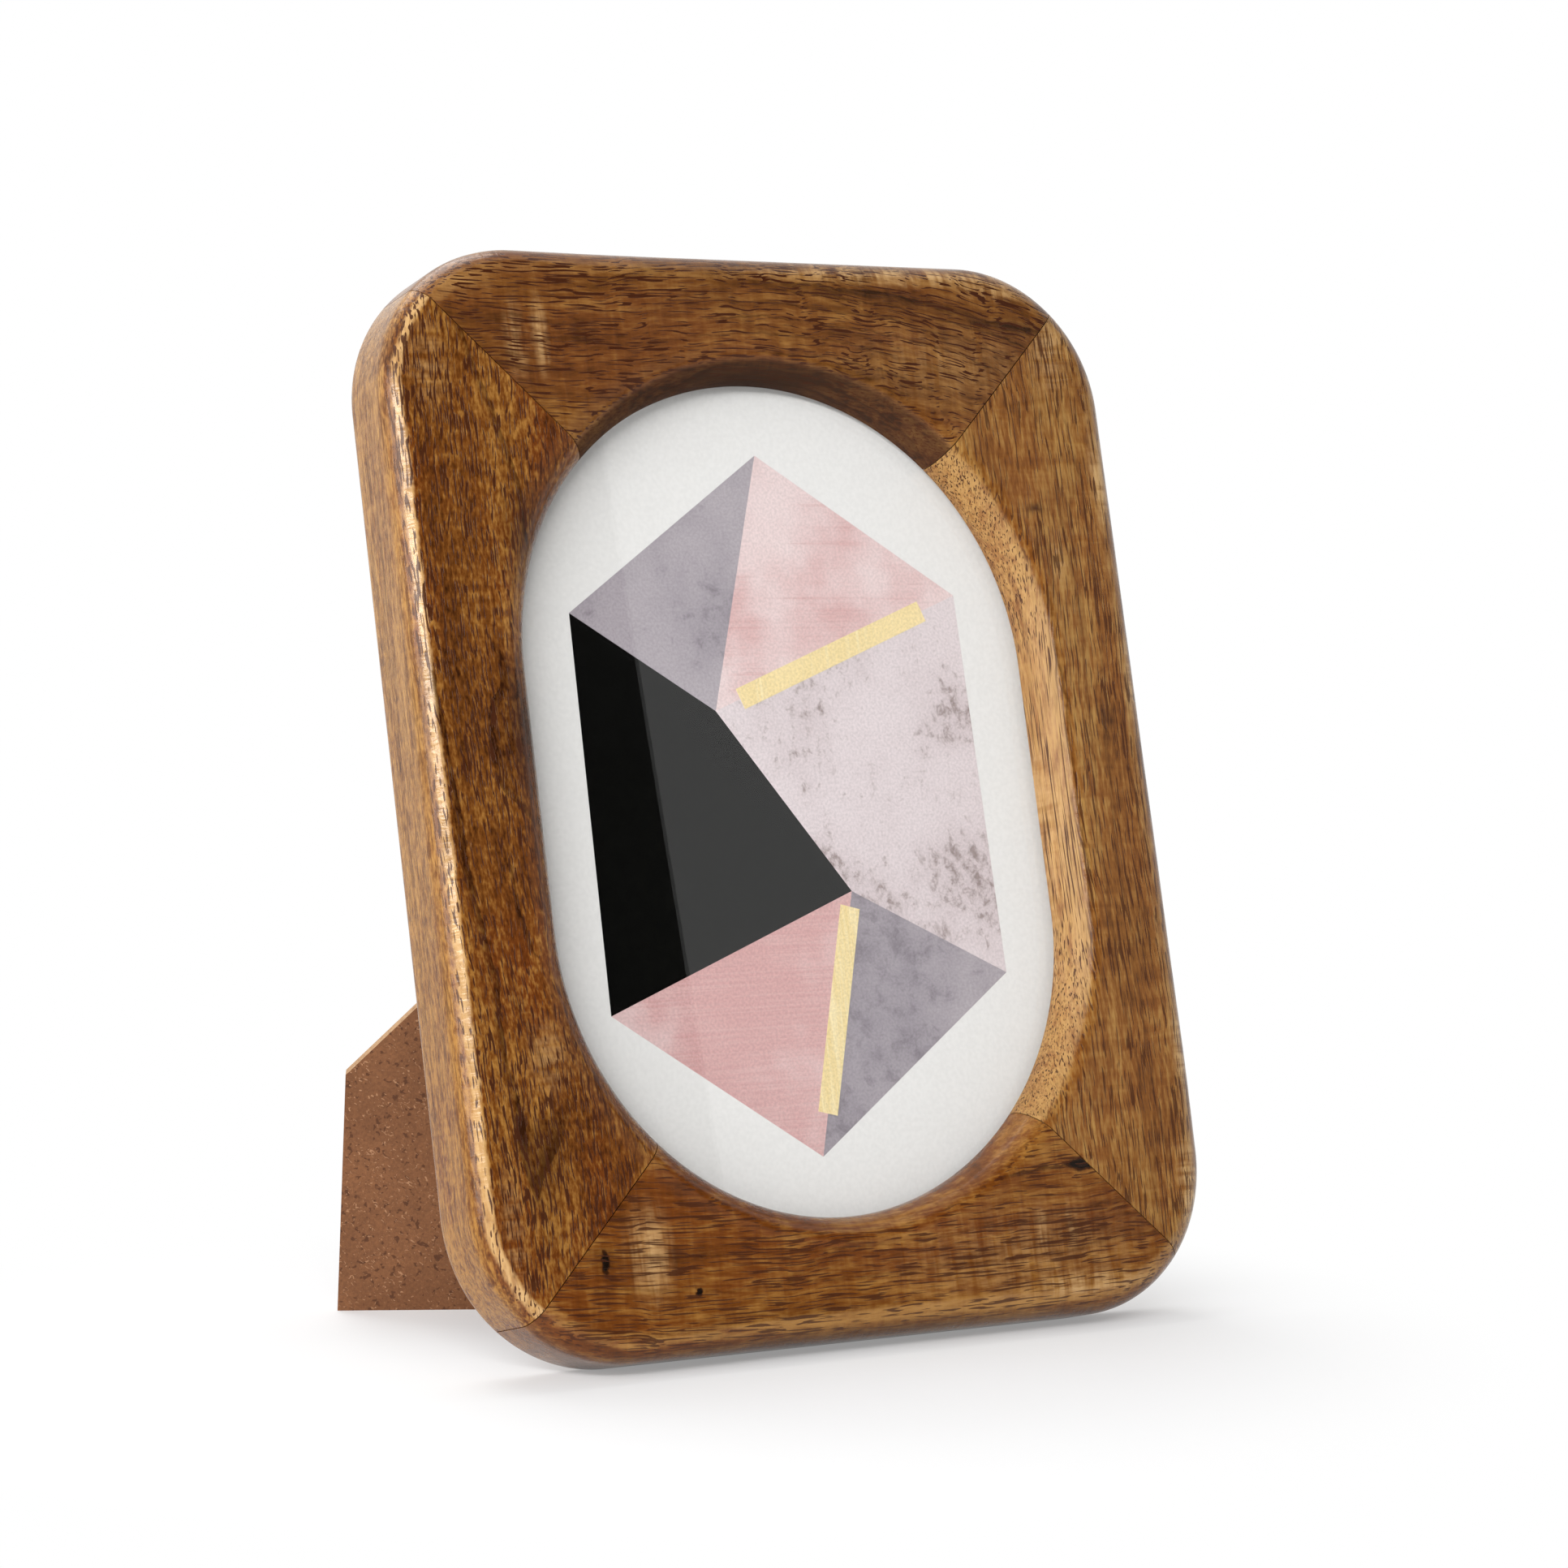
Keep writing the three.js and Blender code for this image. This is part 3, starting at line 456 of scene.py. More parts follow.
def stained(name):
    board = {tone: row[RAILS.index(name)] for tone, row in TONES.items()}
    material, tree, shader, place = new_material(f"stained_{name}")
    half = HALF_H if name in UPRIGHT else HALF_W
    along = add(tree, "SeparateXYZ", {0: place}).outputs["X"]
    edge = place_effect(tree, rim, Place=place, Half=half * MM, Edge=board["edge"] * MM)
    side, ridge, wall = edge["Side"], edge["Ridge"], edge["Wall"]
    # The wall row paints the right rail's opening wall paler, partly fresher cut wood and partly
    # painted light, and the top rail's downward wall darker as painted shade.
    fresh_and_lit, shaded, pores = max(0.0, board["wall"]), max(0.0, -board["wall"]), board["pores"]
    # Painted light: the side mask lightens the left rail's outer side where the left lamp falls,
    # and the ridge mask paints a highlight along the rounded edge; both are partly paler wood and
    # wear.
    light = layered(tree, board["light"], (side, board["side"]), (ridge, board["ridge"]),
                    (wall, fresh_and_lit))
    shade = times(tree, wall, shaded)
    # Bleaching of the side and ridge is partly wear and partly painted light: painted light on the
    # left side and a painted highlight along the ridge.
    bleach_and_light = layered(tree, 0.0, (side, ramp(tree, along, -0.09, 0.05, *board["worn"])),
                     (wall, fresh_and_lit), (ridge, board["rubbed_and_highlight"]))
    needles = layered(tree, 0.0, *zip((wall, side), board["needles"]))
    pores = layered(tree, pores, (wall, -0.8 * pores), (side, -0.6 * pores))
    for t, inward, long, wide, dark in FIGURES[name]:
        spot = place_effect(tree, figure, Place=place, Centre=(t * MM, inward * MM, 0),
                            Size=(long * MM, wide * MM, 3 * max(long, wide) * MM))
        if dark > 0:
            shade = layered(tree, shade, (spot["Hill"], dark))
        else:
            bleach_and_light = layered(tree, bleach_and_light, (spot["Rippled"], -dark))
    for way, soft, dark, points in LINES[name]:
        line = place_effect(tree, growth, Place=place, Way=way, Soft=soft * MM,
                            Line=drawn_curve(tree, along, half, points),
                            From=points[0][0] * MM, To=points[-1][0] * MM)
        shade = layered(tree, shade, (line["Mask"], dark))
    colors = {tone.capitalize(): paint(*board[tone])
              for tone in ("pale", "middle", "rust", "dark")}
    wood = place_effect(tree, timber, Place=place, Seed=board["seed"], Shade=shade, Light=light,
                        Run=drawn_curve(tree, along, half, board["run"]), Pore=paint(*PORE),
                        Bleach=bleach_and_light, Bleached=paint(*BLEACHED_AND_LIT), Burnt=paint(*BURNT),
                        Pores=pores, Short=board["short"], Flecks=board["flecks"],
                        Needles=needles, Dull=times(tree, wall, abs(board["wall"])),
                        Wave=ramp(tree, along, -0.03, 0.02, *board["wave"]),
                        Chatter=times(tree, edge["Round"], board["chatter"]), **colors)
    dress(tree, shader, wood["Color"], wood["Gloss"], wood["Height"], GRAIN_DEPTH)
    fixed(shader, {"Specular IOR Level": WOOD_SHINE, "Specular Tint": SHINE_TINT})
    return material


stains = {name: stained(name) for name in RAILS}
print("stained", len(stains), "rails")

# %% [markdown]
# A rail is a moulded stick: the same section runs from mitre to mitre, but its outer edge bends
# round the frame's corners and its inner edge follows the oval. It could be cut from a block as
# the solid is, but then the rounded edges are coarse. Here each line of the section is drawn as a
# curve along the rail, and the skin is stretched over the lines. That gives a fine even mesh.
# The rail is drawn lying along x, with y in from its outer edge and z back from the front face,
# so its own coordinates are its grain.

# %% Shapes along a rail
OPENING_HALF_W, OPENING_HALF_H, OPENING_CURVE_H = 57.5, 83.5, 58.0
OPENING_EDGE_R, OPENING_DROP = 5.5, 0.7
STRAIGHT = OPENING_HALF_H - OPENING_CURVE_H
LIP_BACK, THICK, REBATE_IN = 8.0, 18.0, 18.0
PRINT_HALF_W = 63.5
MITRE_GAP = 0.2
STATIONS = 190

# Each rail's half length, and the columns that turn its own axes into the frame's.
TURNS = {
    "left_rail": (HALF_H, ((0, 0, 1), (1, 0, 0), (0, 1, 0)), (-HALF_W, 0, 0)),
    "right_rail": (HALF_H, ((0, 0, -1), (-1, 0, 0), (0, 1, 0)), (HALF_W, 0, 0)),
    "top_rail": (HALF_W, ((1, 0, 0), (0, 0, -1), (0, 1, 0)), (0, 0, HALF_H)),
    "bottom_rail": (HALF_W, ((-1, 0, 0), (0, 0, 1), (0, 1, 0)), (0, 0, -HALF_H)),
}


def outer_line(half, inset):
    def inward(t):
        past = max(0.0, abs(t) - (half - CORNER_R))
        return CORNER_R - math.sqrt(max(0.0, (CORNER_R - inset) ** 2 - past**2))
    return inward


def opening_line(name, flare):
    wide, high = OPENING_HALF_W + flare, OPENING_CURVE_H + flare
    drop = OPENING_DROP if name in ("left_rail", "top_rail") else -OPENING_DROP

    def beside(t):
        past = max(0.0, abs(t + drop) - STRAIGHT)
        return HALF_W - wide * math.sqrt(max(0.0, 1 - (past / high) ** 2))

    def above(t):
        reach = STRAIGHT + high * math.sqrt(max(0.0, 1 - (t / wide) ** 2))
        return HALF_H - (reach - drop)
    return beside if name in UPRIGHT else above


def mitre_end(inward, half, side):
    """Where a line of the rail meets its mitre, found by halving the range fifty times."""
    low, high = 0.0, half
    for _ in range(50):
        middle = (low + high) / 2
        inside = middle + inward(side * middle) < half - MITRE_GAP / math.sqrt(2)
        low, high = (middle, high) if inside else (low, middle)
    return side * low


def along_rail(inward, depth, half):
    start, end = mitre_end(inward, half, -1), mitre_end(inward, half, 1)
    places = [start + (end - start) * step / STATIONS for step in range(STATIONS + 1)]
    return [(t, inward(t), depth(t)) for t in places]


print("lip covers", PRINT_HALF_W - OPENING_HALF_W, "mm of the print at each side")

# %% [markdown]
# The section is listed once, from the back face round the outside, over the front, down into the
# opening and back along the rebate that holds the glass. A handmade frame is sanded by hand, so
# the front is a little uneven: that breaks up the shine along its rounded edges.

# %% Draw the rails
ROUND_STEPS = 9
FLAT_STEPS = (5, 12, 3, 5, 5, 4)
RIDGE_DEG, LOWER_RIDGE_DEG = 20, 9
OPENING_RIDGE_DEG, OPENING_RIGHT_DEG = 12, 20
LEFT_ZONE, LOWER_ZONE, RIGHT_ZONE = (15, 58), (55, 88), (20, 52)
EDGE_WAVER, WAVER_LONG = 0.35, 11
SANDED_DEEP, SLOW_LONG, QUICK_LONG = 9.0, 0.021, 0.0065


def smooth(value, low, high):
    share = min(1.0, max(0.0, (value - low) / (high - low)))
    return share * share * (3 - 2 * share)


def on_frame(name, t, inward):
    """The place on the front, x to the right and z up from the frame's middle."""
    columns, corner = TURNS[name][1:]
    return [corner[i] + columns[0][i] * t + columns[1][i] * inward for i in (0, 2)]


def outer_round(name, t):
    """The left edge wavers, with a small radius and a crisp ridge. The lower ridge is faint."""
    x, z = on_frame(name, t, outer_line(TURNS[name][0], 0)(t))
    left = smooth(-x, *LEFT_ZONE)
    waver = EDGE_WAVER * noise.noise(Vector((x, z, 0)) / WAVER_LONG)
    ridge = max(RIDGE_DEG * left, LOWER_RIDGE_DEG * smooth(-z, *LOWER_ZONE))
    return FRONT_EDGE_R + left * (LEFT_EDGE_R - FRONT_EDGE_R + waver), math.radians(ridge)


def opening_round(name, t):
    """The edge of the opening breaks off crisply at the right."""
    x, z = on_frame(name, t, opening_line(name, 0)(t))
    sharper = (OPENING_RIGHT_DEG - OPENING_RIDGE_DEG) * smooth(x, *RIGHT_ZONE)
    return OPENING_EDGE_R, math.radians(OPENING_RIDGE_DEG + sharper)


def round_step(radius, start, share):
    """How far in and how deep the rounded edge lies, a share of the way round to the side."""
    arc = radius / (1 - math.sin(start))
    angle = start + (math.pi / 2 - start) * share
    return arc * (1 - math.sin(angle)), arc * (math.cos(start) - math.cos(angle))


def between(first, second, steps):
    """The rows that fill the flat between two rows."""
    return [[tuple((1 - s) * v + s * w for v, w in zip(a, b)) for a, b in zip(first, second)]
            for s in (step / steps for step in range(1, steps))]


def section(name):
    half = TURNS[name][0]

    def back_edge(share):
        inset, deep = round_step(BACK_EDGE_R, 0.0, share)
        return along_rail(outer_line(half, inset), lambda t: THICK - deep, half)

    def front_edge(share):
        def step(t):
            return round_step(*outer_round(name, t), share)
        return along_rail(lambda t: outer_line(half, step(t)[0])(t), lambda t: step(t)[1], half)

    def opening_edge(share):
        def step(t):
            return round_step(*opening_round(name, t), share)
        return along_rail(lambda t: opening_line(name, step(t)[0])(t), lambda t: step(t)[1], half)

    shares = [step / ROUND_STEPS for step in range(ROUND_STEPS + 1)]
    behind = [back_edge(share) for share in shares]
    front = [front_edge(share) for share in shares[::-1]]
    opening = [opening_edge(share) for share in shares]
    lip = [(t, n, LIP_BACK) for t, n, depth in opening[-1]]
    shelf = along_rail(lambda t: REBATE_IN, lambda t: LIP_BACK, half)
    back = along_rail(lambda t: REBATE_IN, lambda t: THICK, half)
    parts = [behind, front, opening, [lip], [shelf], [back]]
    rows = []
    for part, following, steps in zip(parts, parts[1:] + parts[:1], FLAT_STEPS):
        rows += part + between(part[-1], following[0], steps)
    return rows


def hand_sanded(point, depth):
    fade = max(0.0, 1 - depth / SANDED_DEEP)
    slow, quick = noise.noise(point / SLOW_LONG), noise.noise(point / QUICK_LONG)
    return fade * max(0.0, 0.08 + 0.09 * slow + 0.02 * quick)


def as_data(mesh, name):
    bmesh.ops.recalc_face_normals(mesh, faces=mesh.faces)
    data = bpy.data.meshes.new(name)
    mesh.to_mesh(data)
    mesh.free()
    return data


def put(name, data, place):
    made = bpy.data.objects.new(name, data)
    made.matrix_world = place
    bpy.context.collection.objects.link(made)
    return made


def draw_rail(name):
    half, columns, corner = TURNS[name]
    turn = Matrix(columns).transposed().to_4x4()
    place = LEANING @ Matrix.Translation(Vector(corner) * MM) @ turn
    mesh = bmesh.new()
    grid = []
    for row in section(name):
        line = []
        for t, n, depth in row:
            where = Vector((t, n, depth)) * MM
            sunk = hand_sanded(place @ where, depth)
            line.append(mesh.verts.new(where + Vector((0, 0, sunk * MM))))
        grid.append(line)
    for row, following in zip(grid, grid[1:] + grid[:1]):
        for step in range(STATIONS):
            mesh.faces.new((row[step], row[step + 1], following[step + 1], following[step]))
    mesh.faces.new([row[0] for row in grid])
    mesh.faces.new([row[-1] for row in reversed(grid)])
    return put(f"wood_{name}", as_data(mesh, name), place)


rails = {name: draw_rail(name) for name in TURNS}
bpy.context.view_layer.update()
print("each rail has", len(rails["left_rail"].data.polygons), "faces")

# %% [markdown]
# The V-nails and the screws sit in the wood. Their own solids are the cutters for their slots and
# holes, so that each fits where the maker drove it in. A nail ends flush with the back of the
# rail, so its cutter is first pulled out past the back, to leave no skin of wood over it.

# %% Cut the slots and holes
SAME_SPOT, AT_BACK, CUT_PAST = 0.002, 0.01, 1.0
SHARP_DEG = 15


def own_copy(node, place, name):
    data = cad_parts[node].data.copy()
    data.name = name
    data.transform(place.inverted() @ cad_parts[node].matrix_world)
    data.materials.clear()
    mesh = bmesh.new()
    mesh.from_mesh(data)
    bmesh.ops.remove_doubles(mesh, verts=mesh.verts, dist=SAME_SPOT * MM)
    mesh.to_mesh(data)
    mesh.free()
    return put(name, data, place)


def settle(made):
    bpy.context.view_layer.update()
    graph = bpy.context.evaluated_depsgraph_get()
    data = bpy.data.meshes.new_from_object(made.evaluated_get(graph))
    made.modifiers.clear()
    made.data = data


def cut(made, cutter):
    modifier = made.modifiers.new("cut", "BOOLEAN")
    modifier.operation = "DIFFERENCE"
    modifier.solver = "EXACT"
    modifier.object = cutter


for name, rail in rails.items():
    side = name.split("_")[0]
    nodes = [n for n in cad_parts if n.startswith("v_nail") and side in n.split("_")]
    nodes.append(f"button_screw_{side}")
    cutters = []
    for node in nodes:
        cutter = own_copy(node, rail.matrix_world, f"cutter_{node}")
        for vertex in cutter.data.vertices:
            if vertex.co.z > (THICK - AT_BACK) * MM and node.startswith("v_nail"):
                vertex.co.z += CUT_PAST * MM
        cut(rail, cutter)
        cutters.append(cutter)
    settle(rail)
    for cutter in cutters:
        bpy.data.objects.remove(cutter)
    rail.data.materials.clear()
    rail.data.materials.append(stains[name])
    rail.data.shade_smooth()
    rail.data.set_sharp_from_angle(angle=math.radians(SHARP_DEG))
    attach(rail, "frame")
    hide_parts(name)
    print(name, "cut by", len(nodes), "pieces, now", len(rail.data.polygons), "faces")

# %% [markdown]
# Hardboard is wood pulp pressed hot into a sheet: one face is smooth, brown and faintly mottled,
# with dark specks of bark and pale threads of fibre in it. Where it is sawn the fibres stand up
# and look lighter. Both boards share one effect, with warmer or greyer colours.

# %% Build the pressed fibre effect
pressed, given, made = effect(
    "Pressed fibre", {"Vector": "Place", "Color": "Base Speck Thread"},
    {"Color": "Color", "Float": "Height"},
)
t = pressed
cloudy = ramp(t, speckle(t, given["Place"], (75, 75, 75), 4.0, 0.6), 0.3, 0.7)
grit = speckle(t, given["Place"], (1500, 1500, 1500), 3.0, 0.7)
dots = ramp(t, speckle(t, given["Place"], (820, 820, 820), 1.5, 0.5, 0.5), 0.59, 0.68)
hairs = ramp(t, speckle(t, given["Place"], (300, 1900, 1100), 1.0, 0.5, 1.6), 0.64, 0.72)
shaded = blend(t, times(t, cloudy, 0.28), given["Base"], given["Speck"])
shaded = blend(t, ramp(t, grit, 0.30, 0.72, 0.45, 0.0), shaded, given["Speck"])
shaded = blend(t, times(t, dots, 0.85), shaded, given["Speck"])
t.links.new(blend(t, times(t, hairs, 0.75), shaded, given["Thread"]), made["Color"])
t.links.new(layered(t, grit, (hairs, 0.5)), made["Height"])


def fibre_board(name, base, speck, thread, depth):
    material, tree, shader, place = new_material(name)
    board = place_effect(tree, pressed, Place=place, Base=paint(*base), Speck=paint(*speck),
                         Thread=paint(*thread))
    rough = ramp(tree, board["Height"], 0.2, 1.2, 0.72, 0.92)
    dress(tree, shader, board["Color"], rough, board["Height"], depth)
    fixed(shader, {"Specular IOR Level": 0.25})
    return material


FACE_DEPTH, SAWN_DEPTH = 0.0001, 0.0002
board_face = fibre_board("hardboard_face", (132, 88, 57), (78, 46, 28), (176, 132, 98), FACE_DEPTH)
board_edge = fibre_board("hardboard_sawn", (186, 150, 112), (140, 104, 74), (214, 184, 150),
                         SAWN_DEPTH)
card_face = fibre_board("grey_card_face", (122, 118, 112), (92, 88, 84), (150, 146, 140),
                        FACE_DEPTH)
print("pressed fibre effect has", len(pressed.nodes), "nodes")

# %% [markdown]
# Zinc plating on small steel parts is a soft grey shine with cloudy patches, and fine scratches
# from being handled and driven. One effect gives the patches and the scratches, and two metals
# use it: the yellowish plated sheet, and the brighter wire and screws.

# %% Build the handled metal effect
SCRATCH_DEPTH = 0.00001
handled, given, made = effect(
    "Handled metal", {"Vector": "Place", "Color": "Clean Dull"},
    {"Color": "Color", "Float": "Gloss Height"},
)
t = handled
patches = ramp(t, speckle(t, given["Place"], (420, 420, 420), 3.0, 0.6, 0.6), 0.34, 0.68)
scratches = ramp(t, speckle(t, given["Place"], (260, 4200, 2300), 2.0, 0.6), 0.55, 0.74)
t.links.new(blend(t, patches, given["Clean"], given["Dull"]), made["Color"])
t.links.new(layered(t, 0.27, (patches, 0.16), (scratches, 0.12)), made["Gloss"])
t.links.new(minus(t, patches, scratches), made["Height"])


def metal(name, clean, dull):
    material, tree, shader, place = new_material(name)
    skin = place_effect(tree, handled, Place=place, Clean=paint(*clean), Dull=paint(*dull))
    dress(tree, shader, skin["Color"], skin["Gloss"], skin["Height"], SCRATCH_DEPTH)
    fixed(shader, {"Metallic": 1.0})
    return material


METALS = {
    "plated_steel": metal("plated_steel", (212, 207, 192), (186, 180, 165)),
    "bright_steel": metal("bright_steel", (206, 207, 208), (160, 160, 162)),
}
print("handled metal effect has", len(handled.nodes), "nodes")

# %% [markdown]
# The boards, the glass and the metal parts have the right shapes as solids, but their edges are
# knife sharp. Real sawn, cut and stamped edges are broken a little, and that thin highlight tells
# the eye how big a thing is. Each is copied, its edges are rounded with a bevel, and the copy
# stands for the solid. The sawn edges of a board get a material of their own. The strut's pieces
# keep the room's own axes, so that the box round them fits closely.

# %% Soften the sharp pieces
FLAT_WITHIN, BEVEL_FROM_DEG = 0.005, 35
# Each kind of fitting: its body, its metal, how far its edges are rounded and in how many steps.
FITTINGS = {
    "turn_button": ("button", "plated_steel", 0.22, 2),
    "button_screw": ("frame", "bright_steel", 0.3, 3),
    "hinge_fixed_leaf": ("frame", "plated_steel", 0.12, 3),
    "hinge_moving_leaf": ("strut", "plated_steel", 0.12, 3),
    "board_rivet": ("frame", "plated_steel", 0.35, 3),
    "strut_rivet": ("strut", "plated_steel", 0.35, 3),
    "hinge_pin": ("frame", "bright_steel", 0.1, 2),
    "v_nail": ("frame", "bright_steel", 0.1, 2),
}


def broad_way(data):
    """The way that most of a sheet's surface faces."""
    areas = {}
    for face in data.polygons:
        key = tuple(round(abs(v), 2) for v in face.normal)
        areas.setdefault(key, [0.0, face.normal.copy()])[0] += face.area
    return max(areas.values(), key=lambda entry: entry[0])[1]


def soften(node, body, slot, material, width, edge=None, segments=2):
    place = Matrix() if body == "strut" else LEANING
    made = own_copy(node, place, f"{slot}_{node}")
    mesh = bmesh.new()
    mesh.from_mesh(made.data)
    bmesh.ops.dissolve_limit(mesh, angle_limit=FLAT_WITHIN, verts=mesh.verts, edges=mesh.edges)
    mesh.to_mesh(made.data)
    mesh.free()
    made.data.materials.append(material)
    if edge:
        made.data.materials.append(edge)
        across = broad_way(made.data)
        for face in made.data.polygons:
            face.material_index = int(abs(face.normal.dot(across)) < 0.5)
    bevel = made.modifiers.new("bevel", "BEVEL")
    bevel.width = width * MM
    bevel.segments = segments
    bevel.limit_method = "ANGLE"
    bevel.angle_limit = math.radians(BEVEL_FROM_DEG)
    bevel.use_clamp_overlap = True
    made.data.shade_smooth()
    even = made.modifiers.new("even", "WEIGHTED_NORMAL")
    even.weight = 100
    settle(made)
    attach(made, body)
    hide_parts(node)


soften("back_board", "frame", "hardboard", board_face, 0.25, board_edge)
soften("strut_board", "strut", "hardboard", board_face, 0.3, board_edge)
soften("backing_card", "frame", "grey_card", card_face, 0.2)
for node in sorted(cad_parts):
    for kind, (body, slot, width, segments) in FITTINGS.items():
        if node.startswith(kind):
            body = "button_" + node.split("_")[-1] if body == "button" else body
            soften(node, body, slot, METALS[slot], width, segments=segments)

# %% [markdown]
# The glass is plain float glass. In a render it has to bend light and mirror the room, and it
# also has to let the lamps through to the print: a refracting surface blocks them, so for shadow
# and diffuse rays it is simply see-through.

# %% Make the glass
def rays_of(tree, first, *others):
    """One for rays of these kinds, and zero for the rest."""
    rays = add(tree, "LightPath").outputs
    share = rays[f"Is {first} Ray"]
    for kind in others:
        share = sums(tree, "MAXIMUM", share, rays[f"Is {kind} Ray"])
    return share


def mixed(tree, share, first, second):
    return add(tree, "MixShader", {0: share, 1: first, 2: second}).outputs[0]


def show(tree, surface):
    tree.links.new(surface, tree.nodes["Material Output"].inputs["Surface"])


clear_glass, tree, shader, _ = new_material("clear_glass")
fixed(shader, {"Base Color": (0.985, 0.99, 0.988, 1), "Transmission Weight": 1.0, "IOR": 1.5,
               "Roughness": 0.0})
through = add(tree, "BsdfTransparent", {"Color": (0.96, 0.96, 0.96, 1)}).outputs[0]
show(tree, mixed(tree, rays_of(tree, "Shadow", "Diffuse"), shader.outputs[0], through))
soften("glass_pane", "frame", "glass", clear_glass, 0.3)
low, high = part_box("glass_pane")
print("glass box", [round(v * 1000, 1) for v in high - low])

# %% [markdown]
# The print is a sheet of smooth paper with a wide white border. Its picture here is a plain
# faceted shape in stone, rose, mauve and black with gold strips, chosen only for its colours.
# The fields could be painted in one material, but thin films of ink laid on the paper keep each
# field's edge crisp and give each its own finish.

# %% Make the paper
TOOTH_DEPTH = 0.00001
paper, tree, shader, place = new_material("print_paper")
tooth = speckle(tree, place, (1200, 1200, 1200), 3.0, 0.6)
shade = blend(tree, ramp(tree, tooth, 0.3, 0.7), paint(233, 232, 230), paint(227, 226, 224))
dress(tree, shader, shade, ramp(tree, tooth, 0.3, 0.7, 0.5, 0.62), tooth, TOOTH_DEPTH)
soften("print_sheet", "frame", "print_paper", paper, 0.05)
print("paper made")

# %% [markdown]
# The inks share one effect: a cloudy wash, with stains that can be drawn out downwards like rain
# on plaster, or sideways like brushed metal. Stretch sets which way, and Amount how much of the
# stain's colour shows.

# %% Build the printed wash effect
wash, given, made = effect(
    "Printed wash", {"Vector": "Place Stretch", "Color": "Ground Cloud Stain", "Float": "Amount"},
    {"Color": "Color"},
)
t = wash
slow = speckle(t, given["Place"], (26, 26, 26), 4.0, 0.6)
pulled = vectors(t, "MULTIPLY", given["Place"], given["Stretch"])
pulled = speckle(t, pulled, (1, 1, 1), 6.0, 0.72, 0.3)
fine = speckle(t, given["Place"], (1800, 1800, 1800), 2.0, 0.6)
ground = blend(t, ramp(t, slow, 0.35, 0.65), given["Ground"], given["Cloud"])
stain_at = layered(t, pulled, (minus(t, slow, 0.5), 0.9))
stain = times(t, ramp(t, stain_at, 0.50, 0.72), given["Amount"], clamp=True)
ground = blend(t, stain, ground, given["Stain"])
grainy = ramp(t, fine, 0.3, 0.7, 0.88, 1.06)
grainy = add(t, "CombineColor", {0: grainy, 1: grainy, 2: grainy}).outputs[0]
t.links.new(blend(t, 1.0, ground, grainy, "MULTIPLY"), made["Color"])


def ink(name, ground, cloud, stain, amount, stretch, shine=0.6, metallic=0.0, gleam=0.2):
    material, tree, shader, place = new_material(f"ink_{name}")
    color = place_effect(tree, wash, Place=place, Stretch=stretch, Ground=paint(*ground),
                         Cloud=paint(*cloud), Stain=paint(*stain), Amount=amount)["Color"]
    tree.links.new(color, shader.inputs["Base Color"])
    fixed(shader, {"Roughness": shine, "Metallic": metallic, "Specular IOR Level": gleam})
    return material


INKS = {
    "stone": ((222, 210, 212), (206, 192, 194), (136, 118, 114), 0.85, (420, 1, 330)),
    "rose": ((230, 210, 209), (213, 172, 170), (202, 150, 148), 0.5, (18, 1, 1500)),
    "mauve": ((172, 164, 170), (150, 142, 150), (112, 104, 112), 0.6, (210, 1, 230)),
    "black": ((14, 14, 13), (12, 12, 11), (17, 17, 15), 0.4, (300, 1, 300), 0.8, 0.0, 0.0),
    "gold": ((250, 228, 172), (240, 216, 154), (254, 238, 194), 0.7, (900, 1, 30), 0.38, 0.1),
}
inks = {name: ink(name, *how) for name, how in INKS.items()}
print("inks", sorted(inks))

# %% [markdown]
# Each field is a flat outline in millimetres, x to the right and z up from the middle. A film is
# a few hundredths of a millimetre thick and lies in the space between the paper and the glass.

# %% Lay the ink on the paper
PAPER_FRONT, OFF_PAPER = 10.6, 0.005
FILM, GOLD_FILM = 0.03, 0.06
TOP, RIGHT_UP, RIGHT_LOW = (2, 69), (45, 40), (46, -38)
BOTTOM, LEFT_LOW, LEFT_UP = (-2, -72), (-45, -42), (-44, 37)
HIGH, LOW = (-14, 17), (12, -20)


def strip(start, end, width, from_share, to_share):
    a, b = Vector(start), Vector(end)
    along = b - a
    across = Vector((-along.y, along.x)).normalized() * width / 2
    first, last = a + along * from_share, a + along * to_share
    return [tuple(first - across), tuple(last - across), tuple(last + across),
            tuple(first + across)]


FIELDS = {
    "rose": [[TOP, RIGHT_UP, HIGH], [LEFT_LOW, LOW, BOTTOM]],
    "black": [[LEFT_UP, HIGH, LOW, LEFT_LOW]],
    "stone": [[HIGH, RIGHT_UP, RIGHT_LOW, LOW]],
    "mauve": [[TOP, HIGH, LEFT_UP], [LOW, RIGHT_LOW, BOTTOM]],
    "gold": [strip(HIGH, RIGHT_UP, 4.4, 0.10, 0.86), strip(LOW, BOTTOM, 4.4, 0.06, 0.84)],
}


def lay_ink(name, outlines, thickness):
    mesh = bmesh.new()
    for outline in outlines:
        back, front = [[mesh.verts.new(Vector((x, PAPER_FRONT - off, z)) * MM) for x, z in outline]
                       for off in (OFF_PAPER, thickness)]
        mesh.faces.new(front)
        mesh.faces.new(back[::-1])
        for i, corner in enumerate(back):
            j = (i + 1) % len(back)
            mesh.faces.new((corner, back[j], front[j], front[i]))
    data = as_data(mesh, f"printed_{name}")
    data.materials.append(inks[name])
    made = put(f"printed_{name}", data, LEANING)
    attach(made, "frame")


for name, outlines in FIELDS.items():
    lay_ink(name, outlines, GOLD_FILM if name == "gold" else FILM)
print("ink fields", sum(len(outlines) for outlines in FIELDS.values()))

